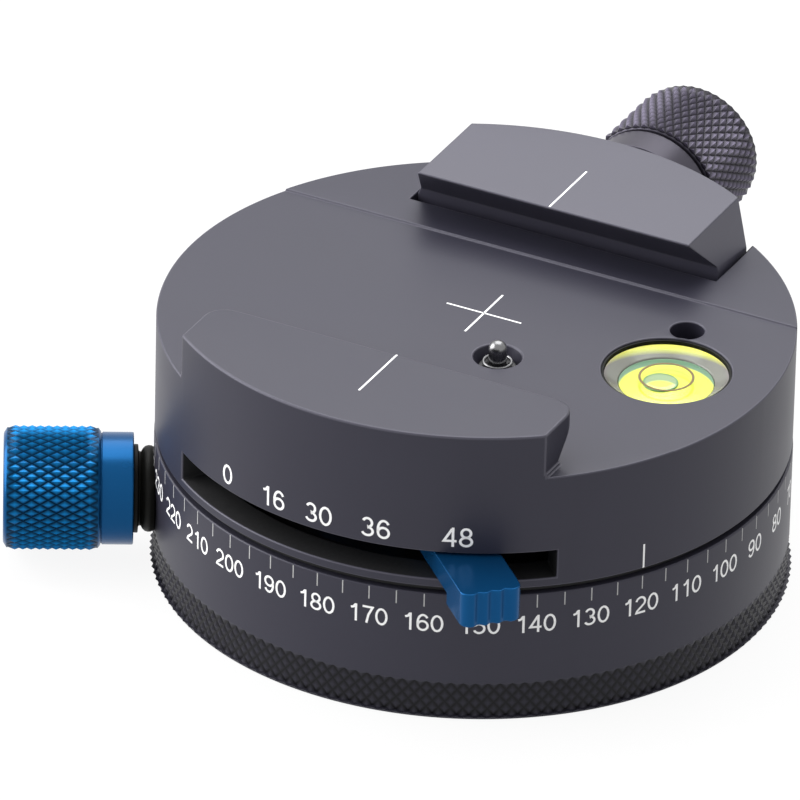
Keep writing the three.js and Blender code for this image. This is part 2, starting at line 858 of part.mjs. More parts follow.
function knobProfile({
	neck, neckStart, collar, collarStart, head, headStart, headEnd, chamfer, groove, round, socket,
}) {
	const shoulder = round * (1 - Math.SQRT1_2);
	return [
		[socket, neckStart],
		[neck, neckStart],
		[neck, collarStart],
		[collar - edgeBreak, collarStart],
		[collar, collarStart + edgeBreak],
		[collar, headStart - groove],
		[collar - groove, headStart - groove],
		[collar - groove, headStart],
		[head - chamfer, headStart],
		[head, headStart + chamfer],
		[head, headEnd - round],
		[head - shoulder, headEnd - shoulder],
		[head - round, headEnd],
		[0, headEnd],
		[0, headStart + knobSocketDepth],
		[socket, headStart + knobSocketDepth],
		[socket, neckStart],
	];
}

function clampKnob() {
	const profile = knobProfile({
		neck: neckRadius,
		neckStart: spotFaceY + 2 * washerThickness,
		collar: clampCollarRadius,
		collarStart: clampCollarStart,
		head: clampHeadRadius,
		headStart: clampHeadStart,
		headEnd: clampHeadStart + clampHeadLength,
		round: clampKnobRound,
		chamfer: clampKnobChamfer,
		groove: clampKnobGroove,
		socket: clampScrewRadius + slip,
	});
	return alongY(turned(profile, middleFacets)).translate(0, 0, clampAxisHeight);
}

function clampScrew() {
	return alongY(turned([
		[0, clampScrewTip],
		[clampScrewRadius - edgeBreak, clampScrewTip],
		[clampScrewRadius, clampScrewTip + edgeBreak],
		[clampScrewRadius, clampHeadStart + knobSocketDepth - seat],
		[0, clampHeadStart + knobSocketDepth - seat],
	], smallFacets)).translate(0, 0, clampAxisHeight);
}

// Rotation lock, drawn along +X and turned to its place on the base

function lockKnob() {
	return alongX(turned(knobProfile({
		neck: lockWasherRadius,
		neckStart: lockCollarStart,
		collar: lockCollarRadius,
		collarStart: lockCollarStart + edgeBreak,
		head: lockHeadRadius,
		headStart: lockHeadStart,
		headEnd: lockHeadStart + lockHeadLength,
		round: lockKnobRound,
		chamfer: lockKnobChamfer,
		groove: lockKnobGroove,
		socket: lockScrewRadius + seat,
	}), middleFacets));
}

function lockScrew() {
	return alongX(turned([
		[0, lockScrewTip],
		[lockScrewRadius - edgeBreak, lockScrewTip],
		[lockScrewRadius, lockScrewTip + edgeBreak],
		[lockScrewRadius, lockHeadStart + knobSocketDepth - seat],
		[0, lockHeadStart + knobSocketDepth - seat],
	], smallFacets));
}

function lockWasher() {
	const end = lockCollarStart - seat;
	return alongX(ring(lockScrewRadius + seat, lockWasherRadius, lockWasherStart, end, smallFacets));
}

function lockSealRing() {
	const thickness = (lockWasherStart - baseRadius - seat) / 2;
	return new THREE.TorusGeometry(lockWasherRadius - thickness, thickness, sealSides, smallFacets)
		.rotateY(Math.PI / 2)
		.translate(baseRadius + seat / 2 + thickness, 0, 0);
}

function brakeShoe() {
	const pad = block(
		0, hubRadius + shoeLength, -shoeWidth / 2, shoeWidth / 2, -shoeHeight / 2, shoeHeight / 2,
	);
	return cut(pad, rod(hubRadius + seat, -shoeHeight, shoeHeight, middleFacets));
}

// Circular spirit level

const levelTop = floorHeight - levelDrop;
const levelFoot = floorHeight - levelHoleDepth;
const levelRadius = levelHoleRadius - levelRoom;
const vialFoot = levelFoot + levelBaseThickness;

function levelBase() {
	return rod(levelRadius, levelFoot, vialFoot, middleFacets).translate(levelX, 0, 0);
}

function levelVial() {
	return turned([
		[levelRadius - levelWall, vialFoot],
		[levelRadius, vialFoot],
		[levelRadius, levelTop - edgeBreak],
		[levelRadius - edgeBreak, levelTop],
		[0, levelTop],
		[0, levelTop - levelLens],
		[levelRadius - levelWall, levelTop - levelLens - levelDome],
		[levelRadius - levelWall, vialFoot],
	], middleFacets).translate(levelX, 0, 0);
}

function levelFluid() {
	const edge = levelRadius - levelWall - slip;
	return turned([
		[0, vialFoot],
		[edge, vialFoot],
		[edge, levelTop - levelLens - levelDome - slip],
		[0, levelTop - levelLens - slip],
	], middleFacets).translate(levelX, 0, 0);
}

// Sprung safety pin in the clamp floor

function safetyPin() {
	const flangeTop = pinFlangeBottom + pinFlangeHeight;
	const tip = floorHeight + pinStand;
	const dome = Array.from({ length: arcFacets / 2 + 1 }, (_, i) => {
		const angle = (i / (arcFacets / 2)) * Math.PI / 2;
		return [pinRadius * Math.cos(angle), tip - pinRadius + pinRadius * Math.sin(angle)];
	});
	return turned([
		[0, pinFlangeBottom - pinTailLength],
		[pinTailRadius, pinFlangeBottom - pinTailLength],
		[pinTailRadius, pinFlangeBottom],
		[pinFlangeRadius, pinFlangeBottom],
		[pinFlangeRadius, flangeTop],
		[pinRadius, flangeTop],
		...dome.slice(0, -1),
		[0, tip],
	], tinyFacets).translate(pinX, pinY, 0);
}

function pinSleeve() {
	const rimBottom = floorHeight - pinRecessDepth;
	return turned([
		[pinRadius + slip, rimBottom - pinSleeveLength],
		[pinWellRadius - slip, rimBottom - pinSleeveLength],
		[pinWellRadius - slip, rimBottom],
		[pinRecessRadius - slip, rimBottom],
		[pinRecessRadius - slip, rimBottom + pinSleeveRim],
		[pinRadius + slip, rimBottom + pinSleeveRim],
		[pinRadius + slip, rimBottom - pinSleeveLength],
	], smallFacets).translate(pinX, pinY, 0);
}

function pinSpring() {
	return spring(pinFlangeRadius, pinWellBottom + slip, pinFlangeBottom - slip, pinSpringTurns)
		.translate(pinX, pinY, 0);
}

// Assembly

const head = new THREE.Group();

function add(name, geometry, material, parent = head) {
	const mesh = new THREE.Mesh(closed(geometry), material);
	mesh.name = name;
	parent.add(mesh);
	return mesh;
}

add('base_housing', baseHousing(), charcoal());
add('base_plate', basePlate(), charcoal());
basePlateScrews().forEach((screw, i) => add(`base_plate_screw_${i + 1}`, screw, steel()));
add('tripod_bushing', tripodBushing(), steel());
add('index_disc', indexDisc(), steel());
indexScrews().forEach((screw, i) => add(`index_disc_screw_${i + 1}`, screw, steel()));
add('glide_ring', glideRing(), blackRubber());

add('rotor_body', rotorBody(), charcoal());
add('retaining_nut', retainingNut(), brass());
add('thrust_washer', thrustWasher(), whitePlastic());
add('selector_pivot_screw', pivotScrew().translate(0, pivotY, 0), steel());

const selector = new THREE.Group();
selector.position.set(0, pivotY, 0);
selector.rotation.z = leverAngle;
head.add(selector);
add('selector_lever', selectorLever(), blueAnodised(), selector);
add('detent_ball', detentBall(), steel(), selector);
add('detent_spring', detentSpring(), steel(), selector);

add('movable_jaw', movableJaw(), charcoal());
add('guide_pin_left', guidePin(-1), steel());
add('guide_pin_right', guidePin(1), steel());
add('return_spring_left', returnSpring(-1), steel());
add('return_spring_right', returnSpring(1), steel());
add('clamp_washer_steel', clampWasher(0), steel());
add('clamp_washer_black', clampWasher(1), blackRubber());
add('clamp_knob', clampKnob(), charcoal());
add('clamp_screw', clampScrew(), steel());

const rotationLock = new THREE.Group();
rotationLock.position.z = lockAxisHeight;
rotationLock.rotation.z = lockAngle;
head.add(rotationLock);
add('lock_knob', lockKnob(), blueAnodised(), rotationLock);
add('lock_screw', lockScrew(), steel(), rotationLock);
add('lock_washer', lockWasher(), blackRubber(), rotationLock);
add('lock_seal_ring', lockSealRing(), blackRubber(), rotationLock);
add('brake_shoe', brakeShoe(), brass(), rotationLock);

add('level_base', levelBase(), levelGreen());
add('level_fluid', levelFluid(), levelGreen());
add('level_vial', levelVial(), clearAcrylic());

add('safety_pin', safetyPin(), steel());
add('pin_sleeve', pinSleeve(), steel());
add('pin_spring', pinSpring(), steel());

export default head;
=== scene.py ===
import json
from math import atan2, cos, hypot, pi, radians, sin

import bmesh
import bpy
from mathutils import Matrix, Vector


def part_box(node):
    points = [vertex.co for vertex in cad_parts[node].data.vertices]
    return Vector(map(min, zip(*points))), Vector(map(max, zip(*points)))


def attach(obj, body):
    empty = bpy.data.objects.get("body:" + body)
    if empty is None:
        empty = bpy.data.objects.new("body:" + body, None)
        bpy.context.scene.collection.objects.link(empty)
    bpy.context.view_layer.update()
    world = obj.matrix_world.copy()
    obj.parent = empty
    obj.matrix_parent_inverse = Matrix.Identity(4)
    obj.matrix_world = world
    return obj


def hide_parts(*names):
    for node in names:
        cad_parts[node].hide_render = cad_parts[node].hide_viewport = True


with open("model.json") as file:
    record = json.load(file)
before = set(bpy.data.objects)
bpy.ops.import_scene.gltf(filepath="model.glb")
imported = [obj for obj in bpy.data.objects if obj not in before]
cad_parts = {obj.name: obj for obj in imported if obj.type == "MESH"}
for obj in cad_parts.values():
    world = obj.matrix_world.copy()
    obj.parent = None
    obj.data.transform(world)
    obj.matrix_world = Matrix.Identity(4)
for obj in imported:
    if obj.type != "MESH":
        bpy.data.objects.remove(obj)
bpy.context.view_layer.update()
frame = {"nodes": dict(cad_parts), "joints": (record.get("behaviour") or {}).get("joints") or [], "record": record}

# Lengths are in millimetres. Meshes, lamps and the camera are turned into metres where they are made.

mm = 0.001


# Camera: a long lens from the front right and above, rolled by about a degree, as products are photographed.
# Its place comes from matching the scale ticks, the round edges and the white marks of the real head.

image_width = 800
sensor_width = 36
focal_pixels = 13322.74
camera_azimuth = radians(26.249)
camera_elevation = radians(30.223)
camera_roll = radians(1.374)
camera_distance = 1377.8
aim_height = 15
aim_across = -7.71
aim_up = 2.72
view_reach = 10000

back = Vector((
    sin(camera_azimuth) * cos(camera_elevation),
    -cos(camera_azimuth) * cos(camera_elevation),
    sin(camera_elevation),
))
across = Vector((cos(camera_azimuth), sin(camera_azimuth), 0))
centre = Vector((0, 0, aim_height))
camera_place = centre + back * camera_distance
aim = centre + across * aim_across + back.cross(across) * aim_up
line_of_sight = (camera_place - aim).normalized()
level_right = Vector((0, 0, 1)).cross(line_of_sight).normalized()
level_up = line_of_sight.cross(level_right)
camera_right = level_right * cos(camera_roll) + level_up * sin(camera_roll)
camera_up = level_up * cos(camera_roll) - level_right * sin(camera_roll)

camera_data = bpy.data.cameras.new("camera")
camera_data.sensor_width = sensor_width
camera_data.lens = focal_pixels / image_width * sensor_width
camera_data.clip_end = view_reach * mm
camera = bpy.data.objects.new("camera", camera_data)
turn = Matrix((camera_right, camera_up, line_of_sight)).transposed().to_4x4()
camera.matrix_world = Matrix.Translation(camera_place * mm) @ turn
bpy.context.collection.objects.link(camera)
bpy.context.scene.camera = camera
bpy.context.scene.view_settings.view_transform = "Standard"


# Studio: a white sweep, with one soft box above and behind and a fainter one at the left.
# The sweep shows white to the camera and in shiny faces, while it lights the head softly.

class Wire:
    """An output socket of a node net that can stand in a sum"""

    def __init__(self, net, socket):
        self.net = net
        self.socket = socket

    def maths(self, operation, *values):
        inputs = dict(enumerate(values))
        return self.net.add("ShaderNodeMath", {"operation": operation}, inputs)

    def __add__(self, other):
        return self.maths("ADD", self, other)

    def __mul__(self, other):
        return self.maths("MULTIPLY", self, other)

    def __sub__(self, other):
        return self.maths("SUBTRACT", self, other)

    def __rsub__(self, other):
        return self.maths("SUBTRACT", other, self)

    def __truediv__(self, other):
        return self.maths("DIVIDE", self, other)

    __radd__ = __add__
    __rmul__ = __mul__


class Net:
    """A node tree whose nodes are added one call each"""

    def __init__(self, tree):
        self.tree = tree

    def add(self, kind, settings=None, inputs=None, output=0):
        node = self.tree.nodes.new(kind)
        for name, value in (settings or {}).items():
            if name == "stops":
                self.set_stops(node.color_ramp.elements, value)
            else:
                setattr(node, name, value)
        for name, value in (inputs or {}).items():
            if isinstance(value, Wire):
                self.tree.links.new(value.socket, node.inputs[name])
            else:
                node.inputs[name].default_value = value
        return Wire(self, node.outputs[output]) if node.outputs else node

    def set_stops(self, elements, stops):
        while len(elements) < len(stops):
            elements.new(1)
        for element, (place, colour) in zip(elements, stops):
            element.position = place
            element.color = colour


sweep_half = 1500
fill_strength = 0.72
floor_tint = (0.9, 0.9, 0.9, 1)
floor_unseen_tint = (0.5, 0.5, 0.5, 1)
floor_glow_share = 0.9

world = bpy.data.worlds.new("studio")
bpy.context.scene.world = world
world.use_nodes = True
world.node_tree.nodes.clear()
net = Net(world.node_tree)
seen = net.add("ShaderNodeLightPath", output="Is Camera Ray")
passed = net.add("ShaderNodeLightPath", output="Is Transmission Ray")
mirrored = net.add("ShaderNodeLightPath", output="Is Glossy Ray")
shown = seen.maths("MAXIMUM", seen + passed, mirrored)
strength = fill_strength + shown * (1 - fill_strength)
sky = net.add("ShaderNodeBackground", None, {"Color": (1, 1, 1, 1), "Strength": strength})
net.add("ShaderNodeOutputWorld", None, {"Surface": sky})

floor_mesh = bpy.data.meshes.new("floor")
sweep_reach = sweep_half * mm
floor_corners = [(x * sweep_reach, y * sweep_reach, 0) for x, y in ((-1, -1), (1, -1), (1, 1), (-1, 1))]
floor_mesh.from_pydata(floor_corners, [], [(0, 1, 2, 3)])
floor = bpy.data.objects.new("floor", floor_mesh)
bpy.context.collection.objects.link(floor)
floor_finish = bpy.data.materials.new("white_sweep")
floor_finish.use_nodes = True
floor_finish.node_tree.nodes.clear()
net = Net(floor_finish.node_tree)
seen = net.add("ShaderNodeLightPath", output="Is Camera Ray")
paper_tints = {0: seen, 6: floor_unseen_tint, 7: floor_tint}
paper_tint = net.add("ShaderNodeMix", {"data_type": "RGBA"}, paper_tints, 2)
paper = net.add("ShaderNodeBsdfDiffuse", None, {"Color": paper_tint})
glow = net.add("ShaderNodeEmission", None, {"Color": (1, 1, 1, 1), "Strength": 1})
mirrored = net.add("ShaderNodeLightPath", output="Is Glossy Ray")
both = net.add("ShaderNodeMixShader", None, {0: seen * floor_glow_share + mirrored, 1: paper, 2: glow})
net.add("ShaderNodeOutputMaterial", None, {"Surface": both})
floor_mesh.materials.append(floor_finish)


def soft_box(name, azimuth, elevation, distance, size, power):
    """A square area lamp that faces the head, seen from the head at that azimuth and elevation"""
    direction = Vector((
        sin(azimuth) * cos(elevation), -cos(azimuth) * cos(elevation), sin(elevation),
    ))
    data = bpy.data.lights.new(name, "AREA")
    data.shape = "SQUARE"
    data.size = size * mm
    data.energy = power
    lamp = bpy.data.objects.new(name, data)
    lamp.location = direction * distance * mm
    lamp.rotation_mode = "QUATERNION"
    lamp.rotation_quaternion = direction.to_track_quat("Z", "Y")
    bpy.context.collection.objects.link(lamp)


soft_box("soft_box_above", azimuth=radians(200), elevation=radians(62), distance=600, size=600, power=4.1)
soft_box("soft_box_left", azimuth=radians(-70), elevation=radians(25), distance=450, size=450, power=3.2)


# Base housing: the fixed lower body, turned from one piece of aluminium, blasted and anodised charcoal.
# A band of diamond knurling runs round its foot for the hand that screws it onto a tripod.

def box_of(node):
    """Lowest and highest corner of a CAD node in millimetres"""
    return [[value / mm for value in corner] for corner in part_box(node)]


def new_finish(name):
    """An empty material and its net"""
    finish = bpy.data.materials.new(name)
    finish.use_nodes = True
    finish.node_tree.nodes.clear()
    return finish, Net(finish.node_tree)


def skin(net, inputs):
    """Ends a net in one shaded skin with these values"""
    shader = net.add("ShaderNodeBsdfPrincipled", None, inputs)
    net.add("ShaderNodeOutputMaterial", None, {"Surface": shader})


def patches(net, size, detail):
    """A number from nought to one that changes from patch to patch over a piece"""
    place = net.add("ShaderNodeTexCoord", output="Object")
    return net.add("ShaderNodeTexNoise", None, {"Vector": place, "Scale": 1 / (size * mm), "Detail": detail})


def painted_groove_shade(net, point, axis, radius, depth):
    """Painted shade: darker towards the bottom of grooves of that depth, which lies at that radius round an axis
    """
    least = 0.1
    dim_share = 0.75
    middle = [value * mm for value in point]
    place = net.add("ShaderNodeTexCoord", output="Object")
    arm = net.add("ShaderNodeVectorMath", {"operation": "SUBTRACT"}, {0: place, 1: middle})
    square = net.add("ShaderNodeVectorMath", {"operation": "CROSS_PRODUCT"}, {0: arm, 1: axis})
    distance = net.add("ShaderNodeVectorMath", {"operation": "LENGTH"}, {0: square}, "Value")
    bright = (radius + depth * dim_share) * mm
    return net.add("ShaderNodeMapRange", None, {0: distance, 1: radius * mm, 2: bright, 3: least, 4: 1})


def anodised(name, colour, roughness, metallic, grain_size, grain_depth, shaded_grooves=None, shine=0.35):
    """Anodised aluminium: a fine grain, a faint cloudiness of the dye, and if wanted shade painted into its
    grooves
    """
    cloud_size = 9
    tint_swing = 0.14
    roughness_swing = 0.08
    finish, net = new_finish(name)
    grain = patches(net, grain_size, 2)
    cloud = patches(net, cloud_size, 3)
    shade = 1 + (cloud - 0.5) * tint_swing + (grain - 0.5) * tint_swing
    if shaded_grooves:
        shade = shade * painted_groove_shade(net, *shaded_grooves)
    tint = net.add("ShaderNodeVectorMath", {"operation": "SCALE"}, {0: colour, "Scale": shade})
    bump = net.add("ShaderNodeBump", None, {"Height": grain, "Strength": 1, "Distance": grain_depth * mm})
    skin(net, {
        "Base Color": tint,
        "Metallic": metallic,
        "Roughness": roughness + (cloud - 0.5) * roughness_swing,
        "Specular IOR Level": shine,
        "Normal": bump,
    })
    return finish


def solid(name, corners, faces, finish):
    """A mesh object from corners in millimetres, its doubles merged and its faces turned outwards"""
    mesh = bpy.data.meshes.new(name)
    shape = bmesh.new()
    points = [shape.verts.new(corner) for corner in corners]
    for face in faces:
        shape.faces.new([points[i] for i in face])
    bmesh.ops.remove_doubles(shape, verts=shape.verts, dist=merge_distance)
    bmesh.ops.recalc_face_normals(shape, faces=shape.faces)
    shape.to_mesh(mesh)
    shape.free()
    mesh.materials.append(finish)
    thing = bpy.data.objects.new(name, mesh)
    bpy.context.collection.objects.link(thing)
    return thing


def turned(name, profile, columns, finish):
    """A solid turned about Z from (radius, height) points that end on the axis or where they began"""
    closed = tuple(profile[0]) == tuple(profile[-1])
    points = profile[:-1] if closed else profile
    corners = []
    rings = []
    for radius, height in points:
        first = len(corners)
        if radius < merge_distance:
            corners.append((0, 0, height))
            rings.append([first] * columns)
        else:
            angles = [i * 2 * pi / columns for i in range(columns)]
            corners += [(radius * cos(angle), radius * sin(angle), height) for angle in angles]
            rings.append(range(first, first + columns))
    if closed:
        rings.append(rings[0])
    faces = []
    for lower, upper in zip(rings, rings[1:]):
        for i in range(columns):
            after = (i + 1) % columns
            loop = dict.fromkeys((lower[i], lower[after], upper[after], upper[i]))
            if len(loop) > 2:
                faces.append(list(loop))
    return solid(name, corners, faces, finish)


def eased(profile, size, steps=3):
    """The same profile with its corners rounded, apart from the two ends of an open one"""
    most = 0.45
    closed = tuple(profile[0]) == tuple(profile[-1])
    points = [Vector(point) for point in (profile[:-1] if closed else profile)]
    rounded = []
    for i, point in enumerate(points):
        if not closed and i in (0, len(points) - 1):
            rounded.append(tuple(point))
            continue
        before = points[i - 1] - point
        after = points[(i + 1) % len(points)] - point
        reach = min(size, before.length * most, after.length * most)
        start = point + before.normalized() * reach
        end = point + after.normalized() * reach
        for step in range(steps + 1):
            t = step / steps
            rounded.append(tuple(start * (1 - t) ** 2 + point * (2 * t * (1 - t)) + end * t ** 2))
    return rounded + rounded[:1] if closed else rounded


def settled(thing):
    """The object with its modifiers made into plain mesh"""
    graph = bpy.context.evaluated_depsgraph_get()
    mesh = bpy.data.meshes.new_from_object(thing.evaluated_get(graph))
    thing.modifiers.clear()
    thing.data = mesh
    return thing


def polished(thing, sharp_angle=radians(35)):
    """Smooth shading inside faces and round curves, and a crisp line at real edges"""
    thing.data.shade_smooth()
    thing.data.set_sharp_from_angle(angle=sharp_angle)
    weights = thing.modifiers.new("weights", "WEIGHTED_NORMAL")
    weights.keep_sharp = True
    return settled(thing)


def fitted(thing, body, node=None):
    """Brings a finished piece from millimetres to metres and hands it to its body"""
    thing.data.transform(Matrix.Scale(mm, 4))
    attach(thing, body)
    if node:
        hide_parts(node)


def moved(thing, matrix):
    """The object with its mesh turned and moved"""
    thing.data.transform(matrix)
    return thing


def seated(thing, matrix, body, node=None, sharp_angle=radians(35)):
    """Moves a turned piece to its place on the head, smooths it and hands it to its body"""
    moved(thing, matrix)
    polished(thing, sharp_angle)
    fitted(thing, body, node)


def recipe(name, sizes, finishes=("Finish",)):
    """A Geometry Nodes tree with named inputs: its net, and its inputs as wires"""
    tree = bpy.data.node_groups.new(name, "GeometryNodeTree")
    tree.interface.new_socket("Geometry", in_out="OUTPUT", socket_type="NodeSocketGeometry")
    tree.interface.new_socket("Geometry", in_out="INPUT", socket_type="NodeSocketGeometry")
    for finish in finishes:
        tree.interface.new_socket(finish, in_out="INPUT", socket_type="NodeSocketMaterial")
    for size in sizes:
        tree.interface.new_socket(size, in_out="INPUT", socket_type="NodeSocketFloat")
    net = Net(tree)
    entry = tree.nodes.new("NodeGroupInput")
    return net, {socket.name: Wire(net, socket) for socket in entry.outputs if socket.name}


def finish_recipe(net, inputs, geometry, band=None):
    """Ends the tree as plain geometry that carries its finish, and another one on the faces of a band"""
    real = net.add("GeometryNodeRealizeInstances", None, {0: geometry})
    coloured = net.add("GeometryNodeSetMaterial", None, {"Geometry": real, "Material": inputs["Finish"]})
    if band:
        with_band = {"Geometry": coloured, "Selection": band, "Material": inputs["Band finish"]}
        coloured = net.add("GeometryNodeSetMaterial", None, with_band)
    net.add("NodeGroupOutput", None, {0: coloured})
    return net.tree


def follow_recipe(thing, tree, values):
    """Runs a tree on an object with these named values and keeps the plain mesh"""
    step = thing.modifiers.new(tree.name, "NODES")
    step.node_group = tree
    for item in tree.interface.items_tree:
        if item.in_out == "INPUT" and item.name in values:
            step[item.identifier] = values[item.name]
    return settled(thing)


# The knurling wheel: raises a diamond tooth at every other corner of the lattice that a turned band carries.
# The teeth of the first and the last row can be lower, where the blank was chamfered.
# Corners of a mesh that lie closer than the merge distance are taken as one.

merge_distance = 0.0005
row_slack = 0.05

knurl_sizes = ["Teeth", "Low", "Row height", "Rows", "Inner radius", "Depth", "First share", "Last share"]
net, size = recipe("knurling", knurl_sizes, ("Finish", "Band finish"))
place = net.add("GeometryNodeInputPosition")
x, y, z = (net.add("ShaderNodeSeparateXYZ", None, {0: place}, axis) for axis in range(3))
radius = x.maths("SQRT", x * x + y * y)
column = x.maths("ROUND", x.maths("ARCTAN2", y, x) * size["Teeth"] / pi)
row = x.maths("ROUND", (z - size["Low"]) / size["Row height"])
odd = x.maths("FLOORED_MODULO", column + row, 2)
above = x.maths("GREATER_THAN", z, size["Low"] - size["Row height"] * row_slack)
below = x.maths("LESS_THAN", z, size["Low"] + size["Row height"] * (size["Rows"] + row_slack))
outside = x.maths("GREATER_THAN", radius, size["Inner radius"])
in_band = above * below * outside
first_rows = row.maths("MINIMUM", size["First share"] + row, 1)
last_rows = row.maths("MINIMUM", size["Last share"] + size["Rows"] - row, 1)
lift = 1 + odd * in_band * size["Depth"] * first_rows * last_rows / radius
raised = net.add("ShaderNodeCombineXYZ", None, {0: x * lift, 1: y * lift, 2: z})
toothed = net.add("GeometryNodeSetPosition", None, {"Geometry": size["Geometry"], "Position": raised})
faceted = net.add(
    "GeometryNodeTriangulate", {"quad_method": "SHORTEST_DIAGONAL"}, {"Mesh": toothed, "Selection": in_band},
)
knurling = finish_recipe(net, size, faceted, in_band)


def knurl_rows(radius, low, high, rows):
    """Profile points of a band that the knurling wheel can follow"""
    return [(radius, low + (high - low) * row / rows) for row in range(rows + 1)]


def knurled(thing, band, depth, shares, finish):
    """A turned blank whose band of (radius, low, high, rows, teeth) is knurled"""
    radius, low, high, rows, teeth = band
    values = {
        "Teeth": float(teeth),
        "Low": low,
        "Row height": (high - low) / rows,
        "Rows": float(rows),
        "Inner radius": radius - depth / 2,
        "Depth": depth,
        "First share": shares[0],
        "Last share": shares[1],
        "Finish": thing.data.materials[0],
        "Band finish": finish,
    }
    return follow_recipe(thing, knurling, values)


slip = 0.1
housing_edge = 0.25
band_proud = 0.1
band_depth = 0.25
band_low = 0.35
band_high = 4.05
band_run_out = 0.4
band_foot = 0.315
foot_edge = 0.1
band_teeth = 165
band_rows = 5
knurl_smooth = radians(66)
rim_radius = 30.6
web_top = 12.6
web_bottom = 4.9
bearing_radius = 8.9
nut_pocket_radius = 12.3

blasted = {"roughness": 0.42, "metallic": 0.25, "grain_size": 0.16, "grain_depth": 0.004}
charcoal = anodised("charcoal_anodised", (0.03, 0.029, 0.044), **blasted)

band_radius = box_of("base_housing")[1][0]
base_height = box_of("base_housing")[1][2]
base_radius = band_radius - band_proud
band_groove = base_radius - band_depth
cover_radius = box_of("base_plate")[1][0]
cover_thickness = box_of("base_plate")[1][2]
foot = eased([
    (cover_radius + slip, cover_thickness),
    (cover_radius + slip, 0),
    (band_radius, 0),
    (band_radius, band_foot),
], foot_edge)
wall = eased([
    (base_radius, band_high + band_run_out),
    (base_radius, base_height),
    (rim_radius, base_height),
    (rim_radius, web_top),
    (bearing_radius, web_top),
    (bearing_radius, web_bottom),
    (nut_pocket_radius, web_bottom),
    (nut_pocket_radius, cover_thickness),
    (cover_radius + slip, cover_thickness),
], housing_edge)
band = (band_groove, band_low, band_high, band_rows, band_teeth)
housing = turned("housing", foot + knurl_rows(*band[:4]) + wall, band_teeth * 2, charcoal)
upright_grooves = ((0, 0, 0), (0, 0, 1), band_groove, band_depth)
# The knurled band gets a darker copy of the charcoal, with shade painted into its grooves: both are painted shade.
charcoal_knurl_shaded = anodised(
    "charcoal_knurl_shaded", (0.022, 0.021, 0.031), shaded_grooves=upright_grooves, shine=0.25, **blasted,
)
knurled(housing, band, band_depth, (1.0, 1.0), charcoal_knurl_shaded)
polished(housing, knurl_smooth)
fitted(housing, "base", "base_housing")


# Degree scale: a tick every five degrees and a number every ten, printed on the upper wall of the housing.
# The numbers are white, and the ticks have a thinner coat. The numbers run clockwise.

tick_count = 72
tick_width = 0.12
tick_length = 1.5
tick_thickness = 0.06
tick_proud = 0.012
scale_zero = radians(88.33)
scale_step = radians(10)
tick_gap = 0.12
number_height = 2.02
number_centre = 11.12
number_shift = radians(-0.2)
ink_depth = 0.06
ink_proud = 0.012


def mottled(name, colour, patch, detail, shade, roughness, others=None):
    """A finish whose shade and roughness, each a least value and a swing, change from patch to patch"""
    finish, net = new_finish(name)
    haze = patches(net, patch, detail)
    amount, roughness = (least + haze * swing if swing else least for least, swing in (shade, roughness))
    tint = net.add("ShaderNodeVectorMath", {"operation": "SCALE"}, {0: colour, "Scale": amount})
    skin(net, {"Base Color": tint, "Roughness": roughness, **(others or {})})
    return finish


white_ink = mottled("white_ink", (0.88,) * 3, 0.4, 3, (0.92, 0.16), (0.55, 0))
tick_ink = mottled("tick_ink", (0.4,) * 3, 0.4, 3, (0.92, 0.16), (0.55, 0))

net, size = recipe("ticks", ["Radius", "Count", "Width", "Length", "Thickness", "Height", "Start"])
count = net.add("FunctionNodeFloatToInt", None, {0: size["Count"]})
circle = net.add("GeometryNodeMeshCircle", None, {"Vertices": count, "Radius": size["Radius"]})
sides = {0: size["Thickness"], 1: size["Width"], 2: size["Length"]}
stroke = net.add("GeometryNodeMeshCube", None, {"Size": net.add("ShaderNodeCombineXYZ", None, sides)})
index = net.add("GeometryNodeInputIndex")
bearing = index * 2 * pi / size["Count"]
facing = net.add("ShaderNodeCombineXYZ", None, {2: bearing})
on_points = {"Points": circle, "Instance": stroke, "Rotation": facing}
strokes = net.add("GeometryNodeInstanceOnPoints", None, on_points)
lifted = net.add("ShaderNodeCombineXYZ", None, {2: size["Height"]})
started = net.add("ShaderNodeCombineXYZ", None, {2: size["Start"]})
to_start = {"Geometry": strokes, "Translation": lifted, "Rotation": started}
placed = net.add("GeometryNodeTransform", None, to_start)
tick_recipe = finish_recipe(net, size, placed)

ticks = bpy.data.objects.new("scale_ticks", bpy.data.meshes.new("scale_ticks"))
bpy.context.collection.objects.link(ticks)
follow_recipe(ticks, tick_recipe, {
    "Radius": base_radius + tick_proud - tick_thickness / 2,
    "Count": float(tick_count),
    "Width": tick_width,
    "Length": tick_length,
    "Thickness": tick_thickness,
    "Height": base_height - tick_gap - tick_length / 2,
    "Start": scale_zero % (2 * pi / tick_count),
    "Finish": tick_ink,
})
fitted(ticks, "base")


def oval(x, y, across, up, start, end, steps=16):
    """Points along an ellipse, with angles in degrees"""
    angles = [radians(start + (end - start) * i / steps) for i in range(steps + 1)]
    return [(x + across * cos(angle), y + up * sin(angle)) for angle in angles]


